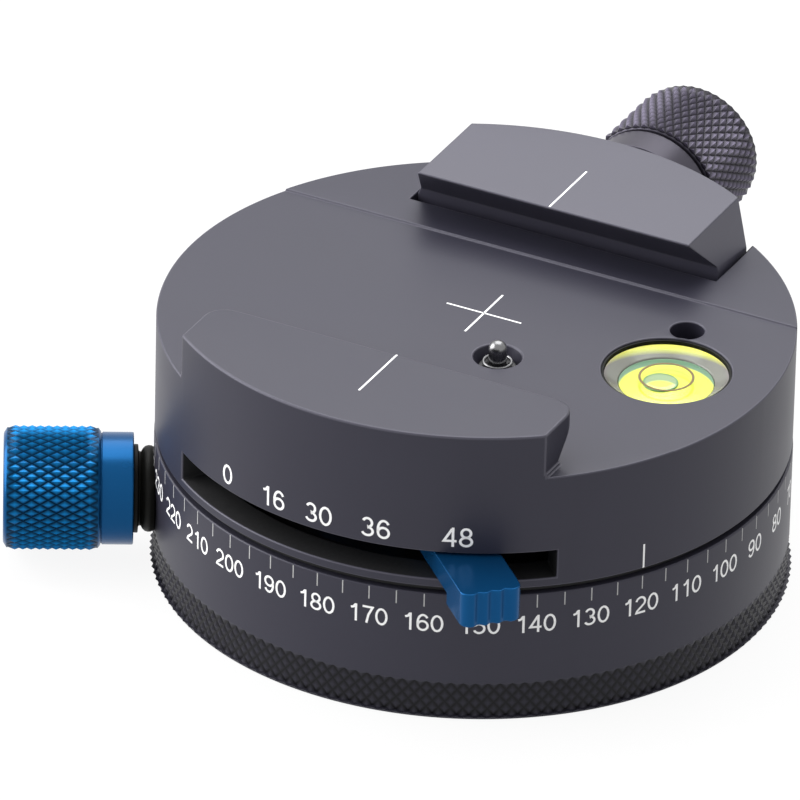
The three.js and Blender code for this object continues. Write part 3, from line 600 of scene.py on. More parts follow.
figure_width = 0.62
hook = oval(0.335, 0.5, 0.255, 0.44, 38, 180) + [(0.08, 0.34)]
bowl = oval(0.32, 0.32, 0.24, 0.26, 0, 360)
figures = {
    "0": [oval(0.31, 0.5, 0.25, 0.44, 0, 360)],
    "1": [[(0.42, 0), (0.42, 1)], [(0.16, 0.75), (0.3, 0.8), (0.39, 0.95)]],
    "2": [oval(0.31, 0.68, 0.24, 0.26, 170, -38) + [(0.12, 0.17), (0.08, 0.06), (0.57, 0.06)]],
    "3": [oval(0.3, 0.715, 0.2, 0.225, 160, -90) + oval(0.3, 0.275, 0.24, 0.215, 90, -160)],
    "4": [[(0.44, 0), (0.44, 1)], [(0.4, 0.92), (0.06, 0.3), (0.6, 0.3)]],
    "5": [[(0.53, 0.94), (0.17, 0.94), (0.11, 0.5)] + oval(0.31, 0.32, 0.25, 0.26, 130, -155)],
    "6": [bowl, hook],
    "7": [[(0.06, 0.94), (0.56, 0.94), (0.36, 0.5), (0.26, 0)]],
    "8": [oval(0.31, 0.72, 0.2, 0.22, 0, 360), oval(0.31, 0.28, 0.245, 0.22, 0, 360)],
    "9": [[(figure_width - x, 1 - y) for x, y in line] for line in (bowl, hook)],
}


def ribbon(line, width):
    """A line of points as a thin strip of ink, square at its ends and mitred at its corners"""
    least_cosine = 0.5
    points = [Vector(point) for point in line]
    ways = [(after - here).normalized() for here, after in zip(points, points[1:])]
    closed = (points[0] - points[-1]).length < width / 100
    corners = []
    for i, point in enumerate(points):
        before = ways[i - 1] if i or closed else ways[0]
        onward = ways[i] if i < len(ways) else ways[0 if closed else -1]
        mean = (before + onward).normalized()
        reach = width / 2 / max(mean.dot(onward), least_cosine)
        side = Vector((-mean.y, mean.x)) * reach
        for depth in (ink_proud - ink_depth, ink_proud):
            corners.append((point.x + side.x, point.y + side.y, depth))
            corners.append((point.x - side.x, point.y - side.y, depth))
    faces = []
    for i in range(len(points) - 1):
        a = 4 * i
        b = a + 4
        faces += [(a, b, b + 1, a + 1), (a + 2, a + 3, b + 3, b + 2)]
        faces += [(a, a + 2, b + 2, b), (a + 1, b + 1, b + 3, a + 3)]
    last = 4 * (len(points) - 1)
    faces += [(0, 1, 3, 2), (last, last + 2, last + 3, last + 1)]
    return corners, faces[:-2] if closed else faces


def lettering(text, height):
    """Corners and faces of a line of figures, centred on its own middle"""
    advance = 0.735
    body = 0.66
    weight = 0.12
    widen = body / figure_width
    corners = []
    faces = []
    left = -(advance * (len(text) - 1) + body) / 2
    for place, figure in enumerate(text):
        for line in figures[figure]:
            shifted = [((x * widen + left + place * advance) * height, (y - 0.5) * height) for x, y in line]
            strip_corners, strip_faces = ribbon(shifted, weight * height)
            first = len(corners)
            corners += strip_corners
            faces += [tuple(first + i for i in face) for face in strip_faces]
    return corners, faces


def wrapped(corners, radius, bearing, height):
    """Flat figures laid round an upright cylinder, to be read from outside"""
    laid = []
    for x, y, depth in corners:
        angle = bearing + x / radius
        laid.append(((radius + depth) * cos(angle), (radius + depth) * sin(angle), height + y))
    return laid


def gathered(name, parts, finish):
    """One mesh of several lots of corners and faces"""
    corners = []
    faces = []
    for part_corners, part_faces in parts:
        first = len(corners)
        corners += part_corners
        faces += [tuple(first + i for i in face) for face in part_faces]
    return solid(name, corners, faces, finish)


parts = []
for number in range(tick_count // 2):
    corners, faces = lettering(str(number * 10), number_height)
    bearing = scale_zero - number * scale_step + number_shift
    parts.append((wrapped(corners, base_radius, bearing, number_centre), faces))
numbers = gathered("scale_numbers", parts, white_ink)
fitted(numbers, "base")


# Glide ring: a slippery ring of black plastic that sits on the housing's rim and carries the rotor.
# It fills the gap between the two, and shows as the dark seam above the scale.

def ring_profile(inner, outer, low, high):
    """Profile of a plain ring"""
    return [(inner, low), (outer, low), (outer, high), (inner, high), (inner, low)]


glide_edge = 0.1
glide_columns = 192
glide_low, glide_high = box_of("glide_ring")
black_plastic = mottled("black_plastic", (0.006, 0.006, 0.007), 0.5, 4, (1, 0), (0.5, 0.25))
glide_profile = ring_profile(rim_radius + slip, glide_high[0], glide_low[2], glide_high[2])
glide = turned("glide", eased(glide_profile, glide_edge), glide_columns, black_plastic)
polished(glide)
fitted(glide, "base", "glide_ring")


# Rotor: the turning upper body, milled from one piece with the fixed jaw of the plate clamp on its front.
# It is blasted and anodised like the housing, and holds the selector slot, the level and the safety pin.

def block(name, low, high, finish):
    """A plain block between two corners"""
    corners = [(x, y, z) for z in (low[2], high[2]) for y in (low[1], high[1]) for x in (low[0], high[0])]
    faces = [(0, 1, 3, 2), (4, 5, 7, 6), (0, 1, 5, 4), (1, 3, 7, 5), (3, 2, 6, 7), (2, 0, 4, 6)]
    return solid(name, corners, faces, finish)


def skinned(name, layers, finish):
    """A solid through outlines with equal counts of corners, from the first to the last"""
    count = len(layers[0])
    corners = [corner for layer in layers for corner in layer]
    faces = [tuple(range(count)), tuple(range(len(corners) - count, len(corners)))]
    for layer in range(len(layers) - 1):
        for i in range(count):
            here = layer * count + i
            after = layer * count + (i + 1) % count
            faces.append((here, after, after + count, here + count))
    return solid(name, corners, faces, finish)


def plate(name, outline, low, high, finish):
    """An outline of (x, y) points raised from one height to another"""
    return skinned(name, [[(x, y, z) for x, y in outline] for z in (low, high)], finish)


def bar(name, outline, low, high, finish):
    """An outline of (y, z) points drawn along X"""
    return skinned(name, [[(x, y, z) for y, z in outline] for x in (low, high)], finish)


def combined(thing, operation, tools):
    """Joins the tools to an object, cuts them out of it, or keeps what they share"""
    shape = bmesh.new()
    for tool in tools:
        shape.from_mesh(tool.data)
    shape.to_mesh(tools[0].data)
    shape.free()
    step = thing.modifiers.new("tools", "BOOLEAN")
    step.operation = operation
    step.object = tools[0]
    step.solver = "EXACT"
    step.use_self = len(tools) > 1
    settled(thing)
    for tool in tools:
        bpy.data.objects.remove(tool)
    return thing


def arc(x, y, radius, start, end, steps):
    """Points along an arc"""
    angles = [start + (end - start) * i / steps for i in range(steps + 1)]
    return [(x + radius * cos(angle), y + radius * sin(angle)) for angle in angles]


def rod(name, radius, low, high, columns, finish):
    """A plain round rod along Z"""
    return turned(name, [(0, low), (radius, low), (radius, high), (0, high)], columns, finish)


def softened(thing, width, steps=2, angle=radians(30), crown=None, finish=None):
    """The object with its sharp edges rounded, and those at the height of a crown to the crown's own width"""
    top, top_width = crown or (0, width)
    shape = bmesh.new()
    shape.from_mesh(thing.data)
    bmesh.ops.triangulate(shape, faces=[face for face in shape.faces if len(face.verts) > 4])
    share = shape.edges.layers.float.new("bevel_weight_edge")
    for edge in shape.edges:
        if edge.calc_face_angle(0) > angle:
            on_crown = all(abs(point.co.z - top) < slip for point in edge.verts)
            edge[share] = 1 if on_crown else width / top_width
    shape.to_mesh(thing.data)
    shape.free()
    step = thing.modifiers.new("edges", "BEVEL")
    step.width = top_width
    step.segments = steps
    if finish:
        thing.data.materials.append(finish)
        step.material = len(thing.data.materials) - 1
    step.limit_method = "WEIGHT"
    step.use_clamp_overlap = False
    step.loop_slide = False
    return settled(thing)


mounts = {mount["name"]: mount for mount in frame["record"]["mounts"]}
joints = {joint["name"]: joint for joint in frame["joints"]}
rotor_low, rotor_high = box_of("rotor_body")
rotor_radius = rotor_high[0]
jaw_top = rotor_high[2]
floor_height = mounts["clamp_floor"]["pos_m"][2] / mm
rotor_bottom = box_of("selector_lever")[0][2]
clamp_axis = joints["clamp_knob_turn"]["pos_m"][2] / mm
pivot_y = joints["selector_turn"]["pos_m"][1] / mm

rotor_columns = 256
bore_columns = 48
small_columns = 64
ring_columns = 96
level_columns = 128
overrun = 2
overlap = 0.5
rear_rise = 0.2
rear_step_y = 14.2
roof_bottom = floor_height - 4.1
skirt_radius = rotor_radius - 3.5
hub_bore_radius = 6.9
hub_bore_top = 10.5
hub_radius = 8.8
hub_root_radius = 10.6
hub_root_bottom = 19.8
jaw_lip_y = -18.4
jaw_half = 20.8
jaw_corner = 2.5
jaw_corner_steps = 16
jaw_lip_height = 0.3
ledge_width = 0.12
ledge_height = 0.45
ledge_end_y = -22.5
slot_bottom = rotor_bottom + 1
slot_top = slot_bottom + 3.15
slot_start = radians(-128.2)
slot_end = radians(-48.3)
slot_steps = 96
pocket_front_y = 18.8
pocket_centre_x = 0.4
pocket_half = 17.8
pocket_depth = 2.1
leg_half = 9.2
leg_bottom = 18.2
notch_face_y = 27.3
notch_gap = 0.3
screw_bore = 2.6
screw_bore_start_y = 14
clamp_block_half = 11.5
clamp_block_front_y = 13.6
clamp_block_bottom = 17.3
pivot_boss_radius = 3.3
pivot_boss_sink = 0.2
rotor_edge = 0.16
crown_edge = 0.24
milled_angle = radians(50)
front_rise = 0.05
front_slope = 0.12
front_step_y = -14.2
level_x = 21.8
level_hole_radius = 6.7
level_hole_depth = 3.4
pin_x = 5.4
pin_y = -5.9
pin_recess_radius = 2.55
pin_recess_depth = 1.5
pin_seat_radius = 2.05
pin_well_radius = 1.75
pin_well_depth = 8.1
screw_hole_x = 20
screw_hole_y = 8.45
screw_hole_radius = 1.78

# A lighter copy of the charcoal for the rounded edges of the milled pieces: a painted highlight along their edges.
charcoal_edge_highlight = anodised("charcoal_edge_highlight", (0.06, 0.058, 0.078), **blasted)

rotor = turned("rotor", [
    (0, hub_bore_top),
    (hub_bore_radius, hub_bore_top),
    (hub_bore_radius, rotor_low[2]),
    (hub_radius, rotor_low[2]),
    (hub_radius, hub_root_bottom),
    (hub_root_radius, hub_root_bottom),
    (hub_root_radius, roof_bottom),
    (skirt_radius, roof_bottom),
    (skirt_radius, rotor_bottom),
    (rotor_radius, rotor_bottom),
    (rotor_radius, jaw_top),
    (0, jaw_top),
], rotor_columns, charcoal)

lip_bottom = jaw_top - jaw_lip_height
far = rotor_radius + overrun
floor_space = bar("floor_space", [
    (-far, floor_height + front_rise),
    (front_step_y - front_slope, floor_height + front_rise),
    (front_step_y, floor_height),
    (rear_step_y, floor_height),
    (rear_step_y, floor_height + rear_rise),
    (far, floor_height + rear_rise),
    (far, jaw_top + overrun),
    (-far, jaw_top + overrun),
], -far, far, charcoal)
jaw_plan = [(-jaw_half, -far - overrun), (jaw_half, -far - overrun)]
jaw_plan += arc(jaw_half - jaw_corner, jaw_lip_y - jaw_corner, jaw_corner, 0, pi / 2, jaw_corner_steps)
jaw_plan += arc(jaw_corner - jaw_half, jaw_lip_y - jaw_corner, jaw_corner, pi / 2, pi, jaw_corner_steps)
fixed_jaw = plate("fixed_jaw", jaw_plan, floor_height - overrun, jaw_top + 2 * overrun, charcoal)
undercut = bar("undercut", [
    (jaw_lip_y, lip_bottom),
    (jaw_lip_y - lip_bottom + floor_height - 2 * overrun, floor_height - 2 * overrun),
    (jaw_lip_y + overrun, floor_height - 2 * overrun),
    (jaw_lip_y + overrun, lip_bottom),
], -far, far, charcoal)
combined(fixed_jaw, "DIFFERENCE", [undercut])
jaw_ledge = plate("jaw_ledge", [
    (-jaw_half - ledge_width, -far - overrun),
    (jaw_half + ledge_width, -far - overrun),
    (jaw_half + ledge_width, ledge_end_y),
    (-jaw_half - ledge_width, ledge_end_y),
], floor_height - overrun, floor_height + ledge_height, charcoal)
combined(floor_space, "DIFFERENCE", [fixed_jaw, jaw_ledge])

slot_outline = arc(0, 0, rotor_radius + overrun, slot_start, slot_end, slot_steps)
slot_outline += arc(0, 0, skirt_radius - overrun, slot_end, slot_start, slot_steps)
slot = plate("slot", slot_outline, slot_bottom, slot_top, charcoal)
pocket = block(
    "pocket",
    (pocket_centre_x - pocket_half, pocket_front_y, floor_height + rear_rise - pocket_depth),
    (pocket_centre_x + pocket_half, far, jaw_top + overrun),
    charcoal,
)
notch = block(
    "notch",
    (-leg_half - notch_gap, notch_face_y, leg_bottom - notch_gap),
    (leg_half + notch_gap, far, jaw_top + overrun),
    charcoal,
)
along_y = Matrix.Rotation(-pi / 2, 4, "X")
to_clamp_axis = Matrix.Translation((0, 0, clamp_axis)) @ along_y
bore = moved(rod("bore", screw_bore, screw_bore_start_y, far, bore_columns, charcoal), to_clamp_axis)
clamp_block = block(
    "clamp_block",
    (-clamp_block_half, clamp_block_front_y, clamp_block_bottom),
    (clamp_block_half, skirt_radius + overlap, roof_bottom + overlap),
    charcoal,
)
# A small turn keeps the corners of the boss off the edges of the other pieces, where a cut can fail
off_grid = Matrix.Rotation(radians(1.7), 4, "Z")
boss_bottom = slot_top - pivot_boss_sink
pivot_boss = rod("pivot_boss", pivot_boss_radius, boss_bottom, roof_bottom + overlap, bore_columns, charcoal)
moved(pivot_boss, Matrix.Translation((0, pivot_y, 0)) @ off_grid)


def floor_hole(name, x, y, radius, depth, columns):
    """A rod that cuts a round hole in the clamp floor"""
    hole = rod(name, radius, floor_height - depth, floor_height + overrun, columns, charcoal)
    return moved(hole, Matrix.Translation((x, y, 0)))


to_pin = Matrix.Translation((pin_x, pin_y, 0))
pin_recess = turned("pin_recess", [
    (0, floor_height - pin_recess_depth),
    (pin_seat_radius, floor_height - pin_recess_depth),
    (pin_recess_radius, floor_height),
    (pin_recess_radius, floor_height + overrun),
    (0, floor_height + overrun),
], ring_columns, charcoal)
holes = [
    floor_hole("level_hole", level_x, 0, level_hole_radius, level_hole_depth, level_columns),
    moved(pin_recess, to_pin),
    floor_hole("pin_well", pin_x, pin_y, pin_well_radius, pin_well_depth, small_columns),
    floor_hole("screw_hole", screw_hole_x, screw_hole_y, screw_hole_radius, level_hole_depth, ring_columns),
]
combined(rotor, "UNION", [clamp_block, pivot_boss])
combined(rotor, "DIFFERENCE", [floor_space, slot, pocket, notch, bore, *holes])
# The rounded edges get the lighter charcoal: a painted highlight.
softened(rotor, rotor_edge, crown=(jaw_top, crown_edge), finish=charcoal_edge_highlight)
polished(rotor, milled_angle)
# The faces inside the selector slot get black plastic: painted shade for the dark inside of the slot.
slot_painted_shade = len(rotor.data.materials)
rotor.data.materials.append(black_plastic)
for face in rotor.data.polygons:
    reach = hypot(face.center.x, face.center.y)
    in_wall = skirt_radius - slip < reach < rotor_radius - rotor_edge - slip
    if in_wall and face.center.y < jaw_lip_y and slot_bottom - slip < face.center.z < slot_top + slip:
        face.material_index = slot_painted_shade
fitted(rotor, "rotor", "rotor_body")


# Rotor marks: the cross on the turning axis, the line on the fixed jaw, the index line over the scale,
# and the number of stops per turn over each place of the selector. All are marked in white.

def stroke_part(start, end, width, height):
    """A white stroke on a level face"""
    along = (Vector(end) - Vector(start)).normalized()
    side = Vector((-along.y, along.x)) * width / 2
    low = height + ink_proud - ink_depth
    ends = [Vector(start) - side, Vector(end) - side, Vector(end) + side, Vector(start) + side]
    corners = [(point.x, point.y, z) for z in (low, height + ink_proud) for point in ends]
    faces = [(0, 3, 2, 1), (4, 5, 6, 7), (0, 1, 5, 4), (1, 2, 6, 5), (2, 3, 7, 6), (3, 0, 4, 7)]
    return corners, faces


stroke_width = 0.21
cross_arm = 4.3
cross_x = 0.15
cross_y = 1.33
jaw_line_gap = 0.1
jaw_line = ((0.18, jaw_lip_y - jaw_line_gap), (0.12, -26.75))
index_bearing = radians(-31.5)
index_low = 15.45
index_high = 18.2
label_height = 2.25
label_centre = 21.4
label_bearings = {"0": -22.8, "16": -11.6, "30": -1.8, "36": 9.2, "48": 24}

parts = [
    stroke_part((cross_x - cross_arm, cross_y), (cross_x + cross_arm, cross_y), stroke_width, floor_height),
    stroke_part((cross_x, cross_y - cross_arm), (cross_x, cross_y + cross_arm), stroke_width, floor_height),
    stroke_part(*jaw_line, stroke_width, jaw_top),
]
index_corners, index_faces = stroke_part((0, index_low), (0, index_high), stroke_width, 0)
parts.append((wrapped(index_corners, rotor_radius, index_bearing, 0), index_faces))
for text, bearing in label_bearings.items():
    corners, faces = lettering(text, label_height)
    parts.append((wrapped(corners, rotor_radius, radians(bearing - 90), label_centre), faces))
rotor_marks = gathered("rotor_marks", parts, white_ink)
fitted(rotor_marks, "rotor")


# Selector: a flat bell crank of blue-anodised aluminium that turns on a screw under the rotor's floor.
# The tab that sticks out of the slot has three shallow grip grooves at its end.

lever_width = 6.4
lever_reach = 27.7
grip_start = 22.5
grip_corner = 1.1
grip_waves = 3
grip_depth = 0.3
grip_steps = 48
corner_steps = 8
lever_gap = 0.3
lever_hub_radius = 3.6
lever_bore = 1.6
lever_edge = 0.14
detent_reach = 7
detent_half = 1.95
lever_angle = radians(-44.4)

blue_dyed = {"roughness": 0.26, "grain_size": 0.1, "grain_depth": 0.0015, "shine": 0.12}
blue_anodised = anodised("blue_anodised", (0.004, 0.07, 0.2), metallic=0.55, **blue_dyed)

lever_top = box_of("selector_lever")[1][2]
lever_bottom = slot_bottom + lever_gap
half = lever_width / 2
tab_outline = [(0, half), (0, -half)]
tab_outline += arc(lever_reach - grip_corner, grip_corner - half, grip_corner, -pi / 2, 0, corner_steps)
for step in range(1, grip_steps):
    share = step / grip_steps
    hollow = grip_depth * (1 - cos(2 * pi * grip_waves * share)) / 2
    tab_outline.append((lever_reach - hollow, (half - grip_corner) * (2 * share - 1)))
tab_outline += arc(lever_reach - grip_corner, half - grip_corner, grip_corner, 0, pi / 2, corner_steps)
to_pivot = Matrix.Translation((0, pivot_y, 0)) @ Matrix.Rotation(lever_angle, 4, "Z")
selector = plate("selector", tab_outline, rotor_bottom, lever_top, blue_anodised)
under_cut = block(
    "under_cut",
    (-lever_reach, -lever_width, rotor_bottom - 1),
    (grip_start, lever_width, lever_bottom),
    blue_anodised,
)
combined(selector, "DIFFERENCE", [under_cut])
detent_low = (-detent_half, -detent_reach, lever_bottom)
detent_arm = block("detent_arm", detent_low, (detent_half, 0, lever_top), blue_anodised)
detent_end = rod("detent_end", detent_half, lever_bottom - 1, lever_top, bore_columns, blue_anodised)
combined(selector, "UNION", [
    rod("selector_hub", lever_hub_radius, lever_bottom, lever_top, small_columns, blue_anodised),
    detent_arm,
    moved(detent_end, Matrix.Translation((0, -detent_reach, 0))),
])
pivot_bore = rod("pivot_bore", lever_bore, lever_bottom - 1, lever_top + 1, bore_columns, blue_anodised)
combined(selector, "DIFFERENCE", [pivot_bore])
softened(selector, lever_edge, angle=milled_angle)
seated(selector, to_pivot, "selector", "selector_lever", milled_angle)


# Movable jaw: a milled dovetail bar with sloped ends, and a leg at the back for the clamp screw.
# Its foot runs in the pocket of the rotor's rear floor.

slide_low, slide_high = box_of("movable_jaw")
slide_top = slide_high[2]
slide_lip_y = slide_low[1]
slide_lip_height = 0.25
slide_rear_radius = slide_high[1]
slide_centre_x = 0.5
slide_top_half = 15.7
slide_foot_half = 17.55
slide_foot_shift = -0.15
slide_edge = 0.12
leg_bore = 2.8
spot_face_gap = 0.3
guide_columns = 32
slide_line_gap = 0.15
slide_line_end_y = 24.9
rear_floor = floor_height + rear_rise
foot_bottom = rear_floor - pocket_depth + slip
slide_heel = 0.8
slide_foot_y = slide_lip_y + slide_top - slide_lip_height - rear_floor - slide_heel
leg_front_y = 28.6
spot_face_y = 31.7
washer_radius = 4.6

# The movable jaw gets a lighter, shinier copy of the charcoal: painted light, for the brighter light that falls on
# it.
charcoal_slide_lit = anodised("charcoal_slide_lit", (0.046, 0.044, 0.066), shine=0.75, **blasted)

slide = bar("slide", [
    (slide_lip_y, slide_top),
    (slide_lip_y, slide_top - slide_lip_height),
    (slide_foot_y, rear_floor + slide_heel),
    (slide_foot_y, foot_bottom),
    (far, foot_bottom),
    (far, slide_top),
], -far, far, charcoal_slide_lit)
foot_left = slide_foot_shift - slide_foot_half
foot_right = slide_foot_shift + slide_foot_half
ends_outline = [
    (foot_left, foot_bottom), (foot_right, foot_bottom), (foot_right, rear_floor),
    (slide_top_half, slide_top), (-slide_top_half, slide_top), (foot_left, rear_floor),
]
slide_ends = skinned("slide_ends", [
    [(slide_centre_x + x, y, z) for x, z in ends_outline] for y in (0, far + 1)
], charcoal_slide_lit)
combined(slide, "INTERSECT", [slide_ends])
leg = block("leg", (-leg_half, leg_front_y, leg_bottom), (leg_half, far, rear_floor), charcoal_slide_lit)
combined(slide, "UNION", [leg])
rear = rod("rear", slide_rear_radius, leg_bottom - 1, slide_top + 1, rotor_columns, charcoal_slide_lit)
combined(slide, "INTERSECT", [rear])
face_radius = washer_radius + spot_face_gap
leg_holes = [
    moved(rod("leg_hole", leg_bore, leg_front_y - 1, far, bore_columns, charcoal_slide_lit), to_clamp_axis),
    moved(rod("spot_face", face_radius, spot_face_y, far, small_columns, charcoal_slide_lit), to_clamp_axis),
]
for guide_pin in ("guide_pin_left", "guide_pin_right"):
    guide_low, guide_high = box_of(guide_pin)
    guide_x = (guide_low[0] + guide_high[0]) / 2
    guide_radius = guide_high[0] - guide_x + slip
    guide_hole = rod("guide_hole", guide_radius, leg_front_y - 1, far, guide_columns, charcoal_slide_lit)
    leg_holes.append(moved(guide_hole, Matrix.Translation((guide_x, 0, 0)) @ to_clamp_axis))
combined(slide, "DIFFERENCE", leg_holes)
# The rounded edges get the lighter charcoal: a painted highlight.
softened(slide, slide_edge, finish=charcoal_edge_highlight)
polished(slide, milled_angle)
fitted(slide, "jaw", "movable_jaw")

slide_line = ((0, slide_lip_y + slide_line_gap), (0, slide_line_end_y))
slide_mark = gathered("slide_mark", [stroke_part(*slide_line, stroke_width, slide_top)], white_ink)
fitted(slide_mark, "jaw")


# Clamp knob: turned from one piece of aluminium and anodised, with a smooth collar and a knurled head.
# It is fixed on the clamp screw, which draws the movable jaw in.

def knob_blank(name, points, band, finish):
    """A turned knob whose band of (radius, low, high, rows, teeth) is left as a lattice for knurling"""
    ease = 0.18
    radius, low, high, rows, teeth = band
    before = [point for point in points if point[1] <= low]
    after = [point for point in points if point[1] > low]
    profile = eased(before + [(radius, low)], ease)[:-1]
    profile += knurl_rows(radius, low, high, rows)
    profile += eased([(radius, high)] + after, ease)[1:]
    return turned(name, profile, teeth * 2, finish)


knob_low, knob_high = box_of("clamp_knob")
knob_radius = knob_high[0]
knob_end = knob_high[1]
knob_teeth = 45
knob_rows = 11
knob_depth = 0.36
knob_round = 0.9
knob_chamfer = 0.3
knob_head_start = knob_end - 10.9
knob_collar_start = knob_head_start - 4
knob_collar_radius = 6.95
knob_neck_radius = 4.4
knob_groove = 0.35
knob_groove_depth = 0.9

lathe_turned = {"roughness": 0.36, "metallic": 0.6, "grain_size": 0.1, "grain_depth": 0.002}
charcoal_turned = anodised("charcoal_turned", (0.05, 0.046, 0.062), **lathe_turned)

groove_radius = knob_radius - knob_depth
band_start = knob_head_start + knob_chamfer / 2
band = (groove_radius, band_start, knob_end - knob_round / 2, knob_rows, knob_teeth)
knob = knob_blank("clamp_knob_turned", [
    (0, knob_low[1]),
    (knob_neck_radius, knob_low[1]),
    (knob_neck_radius, knob_collar_start),
    (knob_collar_radius, knob_collar_start),
    (knob_collar_radius, knob_head_start - knob_groove),
    (knob_collar_radius - knob_groove_depth, knob_head_start - knob_groove),
    (knob_collar_radius - knob_groove_depth, knob_head_start),
    (groove_radius - knob_chamfer / 2, knob_head_start),
    (knob_radius - knob_round, knob_end),
    (0, knob_end),
], band, charcoal_turned)
knob_grooves = ((0, 0, clamp_axis), (0, 1, 0), groove_radius, knob_depth)
# The knurled head gets a lighter copy of the knob's charcoal, with shade painted into its grooves: painted light
# on the teeth and painted shade between them.
knob_knurl_lit_and_shaded = anodised("knob_knurl_lit_and_shaded", (0.1, 0.088, 0.132), shaded_grooves=knob_grooves, **lathe_turned)
knurled(knob, band, knob_depth, (1.0, 0.3), knob_knurl_lit_and_shaded)
seated(knob, to_clamp_axis, "clamp_screw_and_knob", "clamp_knob", knurl_smooth)


# Clamp washers: one of bright steel and one of black plastic, loose on the clamp screw.
# They lie between the jaw's leg and the knob's neck, so that the knob turns without marking the leg.

steel = mottled("bright_steel", (0.62, 0.62, 0.64), 0.7, 4, (0.92, 0.16), (0.16, 0.14), {"Metallic": 1})


def washer(name, node, inner, outer, finish, body):
    """A flat ring on the clamp axis that stands for a CAD node"""
    washer_edge = 0.12
    low, high = box_of(node)
    ring = turned(name, eased(ring_profile(inner, outer, low[1], high[1]), washer_edge), ring_columns, finish)
    seated(ring, to_clamp_axis, body, node)


washer("clamp_washer_bright", "clamp_washer_steel", screw_bore, washer_radius, steel,
       "clamp_screw_and_knob")
washer("clamp_washer_dark", "clamp_washer_black", screw_bore, washer_radius, black_plastic,
       "clamp_screw_and_knob")


# Rotation lock: a blue-anodised knob like the clamp's, on a screw that presses a brake shoe on the hub.
# A bulging ring and a disc, both of black rubber, seal the screw's hole in the housing.

lock_axis = Vector(joints["lock_knob_turn"]["axis"])
lock_height = joints["lock_knob_turn"]["pos_m"][2] / mm
lock_bearing = atan2(lock_axis.y, lock_axis.x)
to_lock_axis = (
    Matrix.Translation((0, 0, lock_height))
    @ Matrix.Rotation(lock_bearing, 4, "Z")
    @ Matrix.Rotation(pi / 2, 4, "Y")
)
lock_collar_start = 35.1
lock_collar_radius = 5.85
lock_head_start = 38.5
lock_head_end = 48.6
lock_radius = 6.45
lock_neck_radius = 4.6
lock_teeth = 40
lock_rows = 11
lock_depth = 0.32
lock_round = 0.75
lock_chamfer = 0.55
lock_groove = 0.12

groove_radius = lock_radius - lock_depth
band_start = lock_head_start + lock_chamfer / 2
band = (groove_radius, band_start, lock_head_end - lock_round / 2, lock_rows, lock_teeth)
lock_knob = knob_blank("lock_knob_turned", [
    (0, lock_collar_start),
    (lock_collar_radius, lock_collar_start),
    (lock_collar_radius, lock_head_start - lock_groove),
    (lock_collar_radius - lock_groove, lock_head_start - lock_groove),
    (lock_collar_radius - lock_groove, lock_head_start),
    (lock_radius - lock_chamfer, lock_head_start),
    (lock_radius - lock_round, lock_head_end),
    (0, lock_head_end),
], band, blue_anodised)
lock_grooves = ((0, 0, lock_height), lock_axis, groove_radius, lock_depth)
# The knurled head gets a lighter copy of the blue, with shade painted into its grooves: painted light on the teeth
# and painted shade between them.
lock_knurl_lit_and_shaded = anodised("lock_knurl_lit_and_shaded", (0.003, 0.14, 0.37), metallic=0.6, shaded_grooves=lock_grooves, **blue_dyed)
knurled(lock_knob, band, lock_depth, (0.35, 0.35), lock_knurl_lit_and_shaded)
seated(lock_knob, to_lock_axis, "lock", "lock_knob", knurl_smooth)

rubber = mottled(
    "black_rubber", (0.006, 0.006, 0.005), 0.3, 5, (0.7, 0.6), (0.4, 0.2), {"Specular IOR Level": 0.12},
)

# Radius of the bulging ring at each distance from the housing's wall
spacer_side = [
    (3.9, -0.3), (4.3, -0.1), (4.48, 0.25), (4.5, 0.55), (4.42, 0.85), (4.2, 1.1), (3.9, 1.28), (3.85, 1.32),
]
spacer_profile = [(radius, base_radius + out) for radius, out in spacer_side]
spacer_start = (0, spacer_profile[0][1])
spacer_end = (0, spacer_profile[-1][1])
lock_spacer = turned("lock_spacer", [spacer_start, *spacer_profile, spacer_end], ring_columns, rubber)
seated(lock_spacer, to_lock_axis, "base", "lock_seal_ring")

disc_edge = 0.1
disc_foot_radius = 3.9
disc_lip_start = lock_collar_start - 0.5
disc_lip_full = lock_collar_start - 0.45
lock_disc = turned("lock_disc", eased([
    spacer_end,
    spacer_profile[-1],
    (disc_foot_radius, disc_lip_start),
    (lock_neck_radius, disc_lip_full),
    (lock_neck_radius, lock_collar_start),
    (0, lock_collar_start),
], disc_edge), ring_columns, rubber)
seated(lock_disc, to_lock_axis, "lock", "lock_washer")


# Spirit level: a round vial of clear acrylic, sunk in a blind hole, with a yellow-green liquid and a bubble.
# The liquid shows through the clear wall, at the front and again at the back. At the back this view is painted on
# the wall, and the level's glints, its light and shade and a faint glow are painted into its colours.
# A ring mark is printed under the lens.

def away(net, middle, backward=0, sideward=0):
    """Level distance in millimetres from a point that lies backward and sideward of the middle"""
    spot = middle + level_back * backward + level_side * sideward
    place = net.add("ShaderNodeTexCoord", output="Object")
    x = net.add("ShaderNodeSeparateXYZ", None, {0: place}, 0) / mm - spot.x
    y = net.add("ShaderNodeSeparateXYZ", None, {0: place}, 1) / mm - spot.y
    return x.maths("SQRT", x * x + y * y)


def beyond(net, distance, radius, soft):
    """Nought inside a radius and one outside it"""
    return net.add("ShaderNodeMapRange", None, {0: distance, 1: radius - soft, 2: radius + soft})


def blend(net, factor, first, second):
    """A colour between two"""
    return net.add("ShaderNodeMix", {"data_type": "RGBA"}, {0: factor, 6: first, 7: second}, 2)


def luminous(net, colour, roughness, glow):
    """Ends a net in a glossy skin with a faint painted glow, standing in for the light that falls through clear
    pieces
    """
    skin(net, {
        "Base Color": colour, "Roughness": roughness, "Emission Color": colour, "Emission Strength": glow,
        "Coat Weight": 0.2, "Coat Roughness": 0.05,
    })


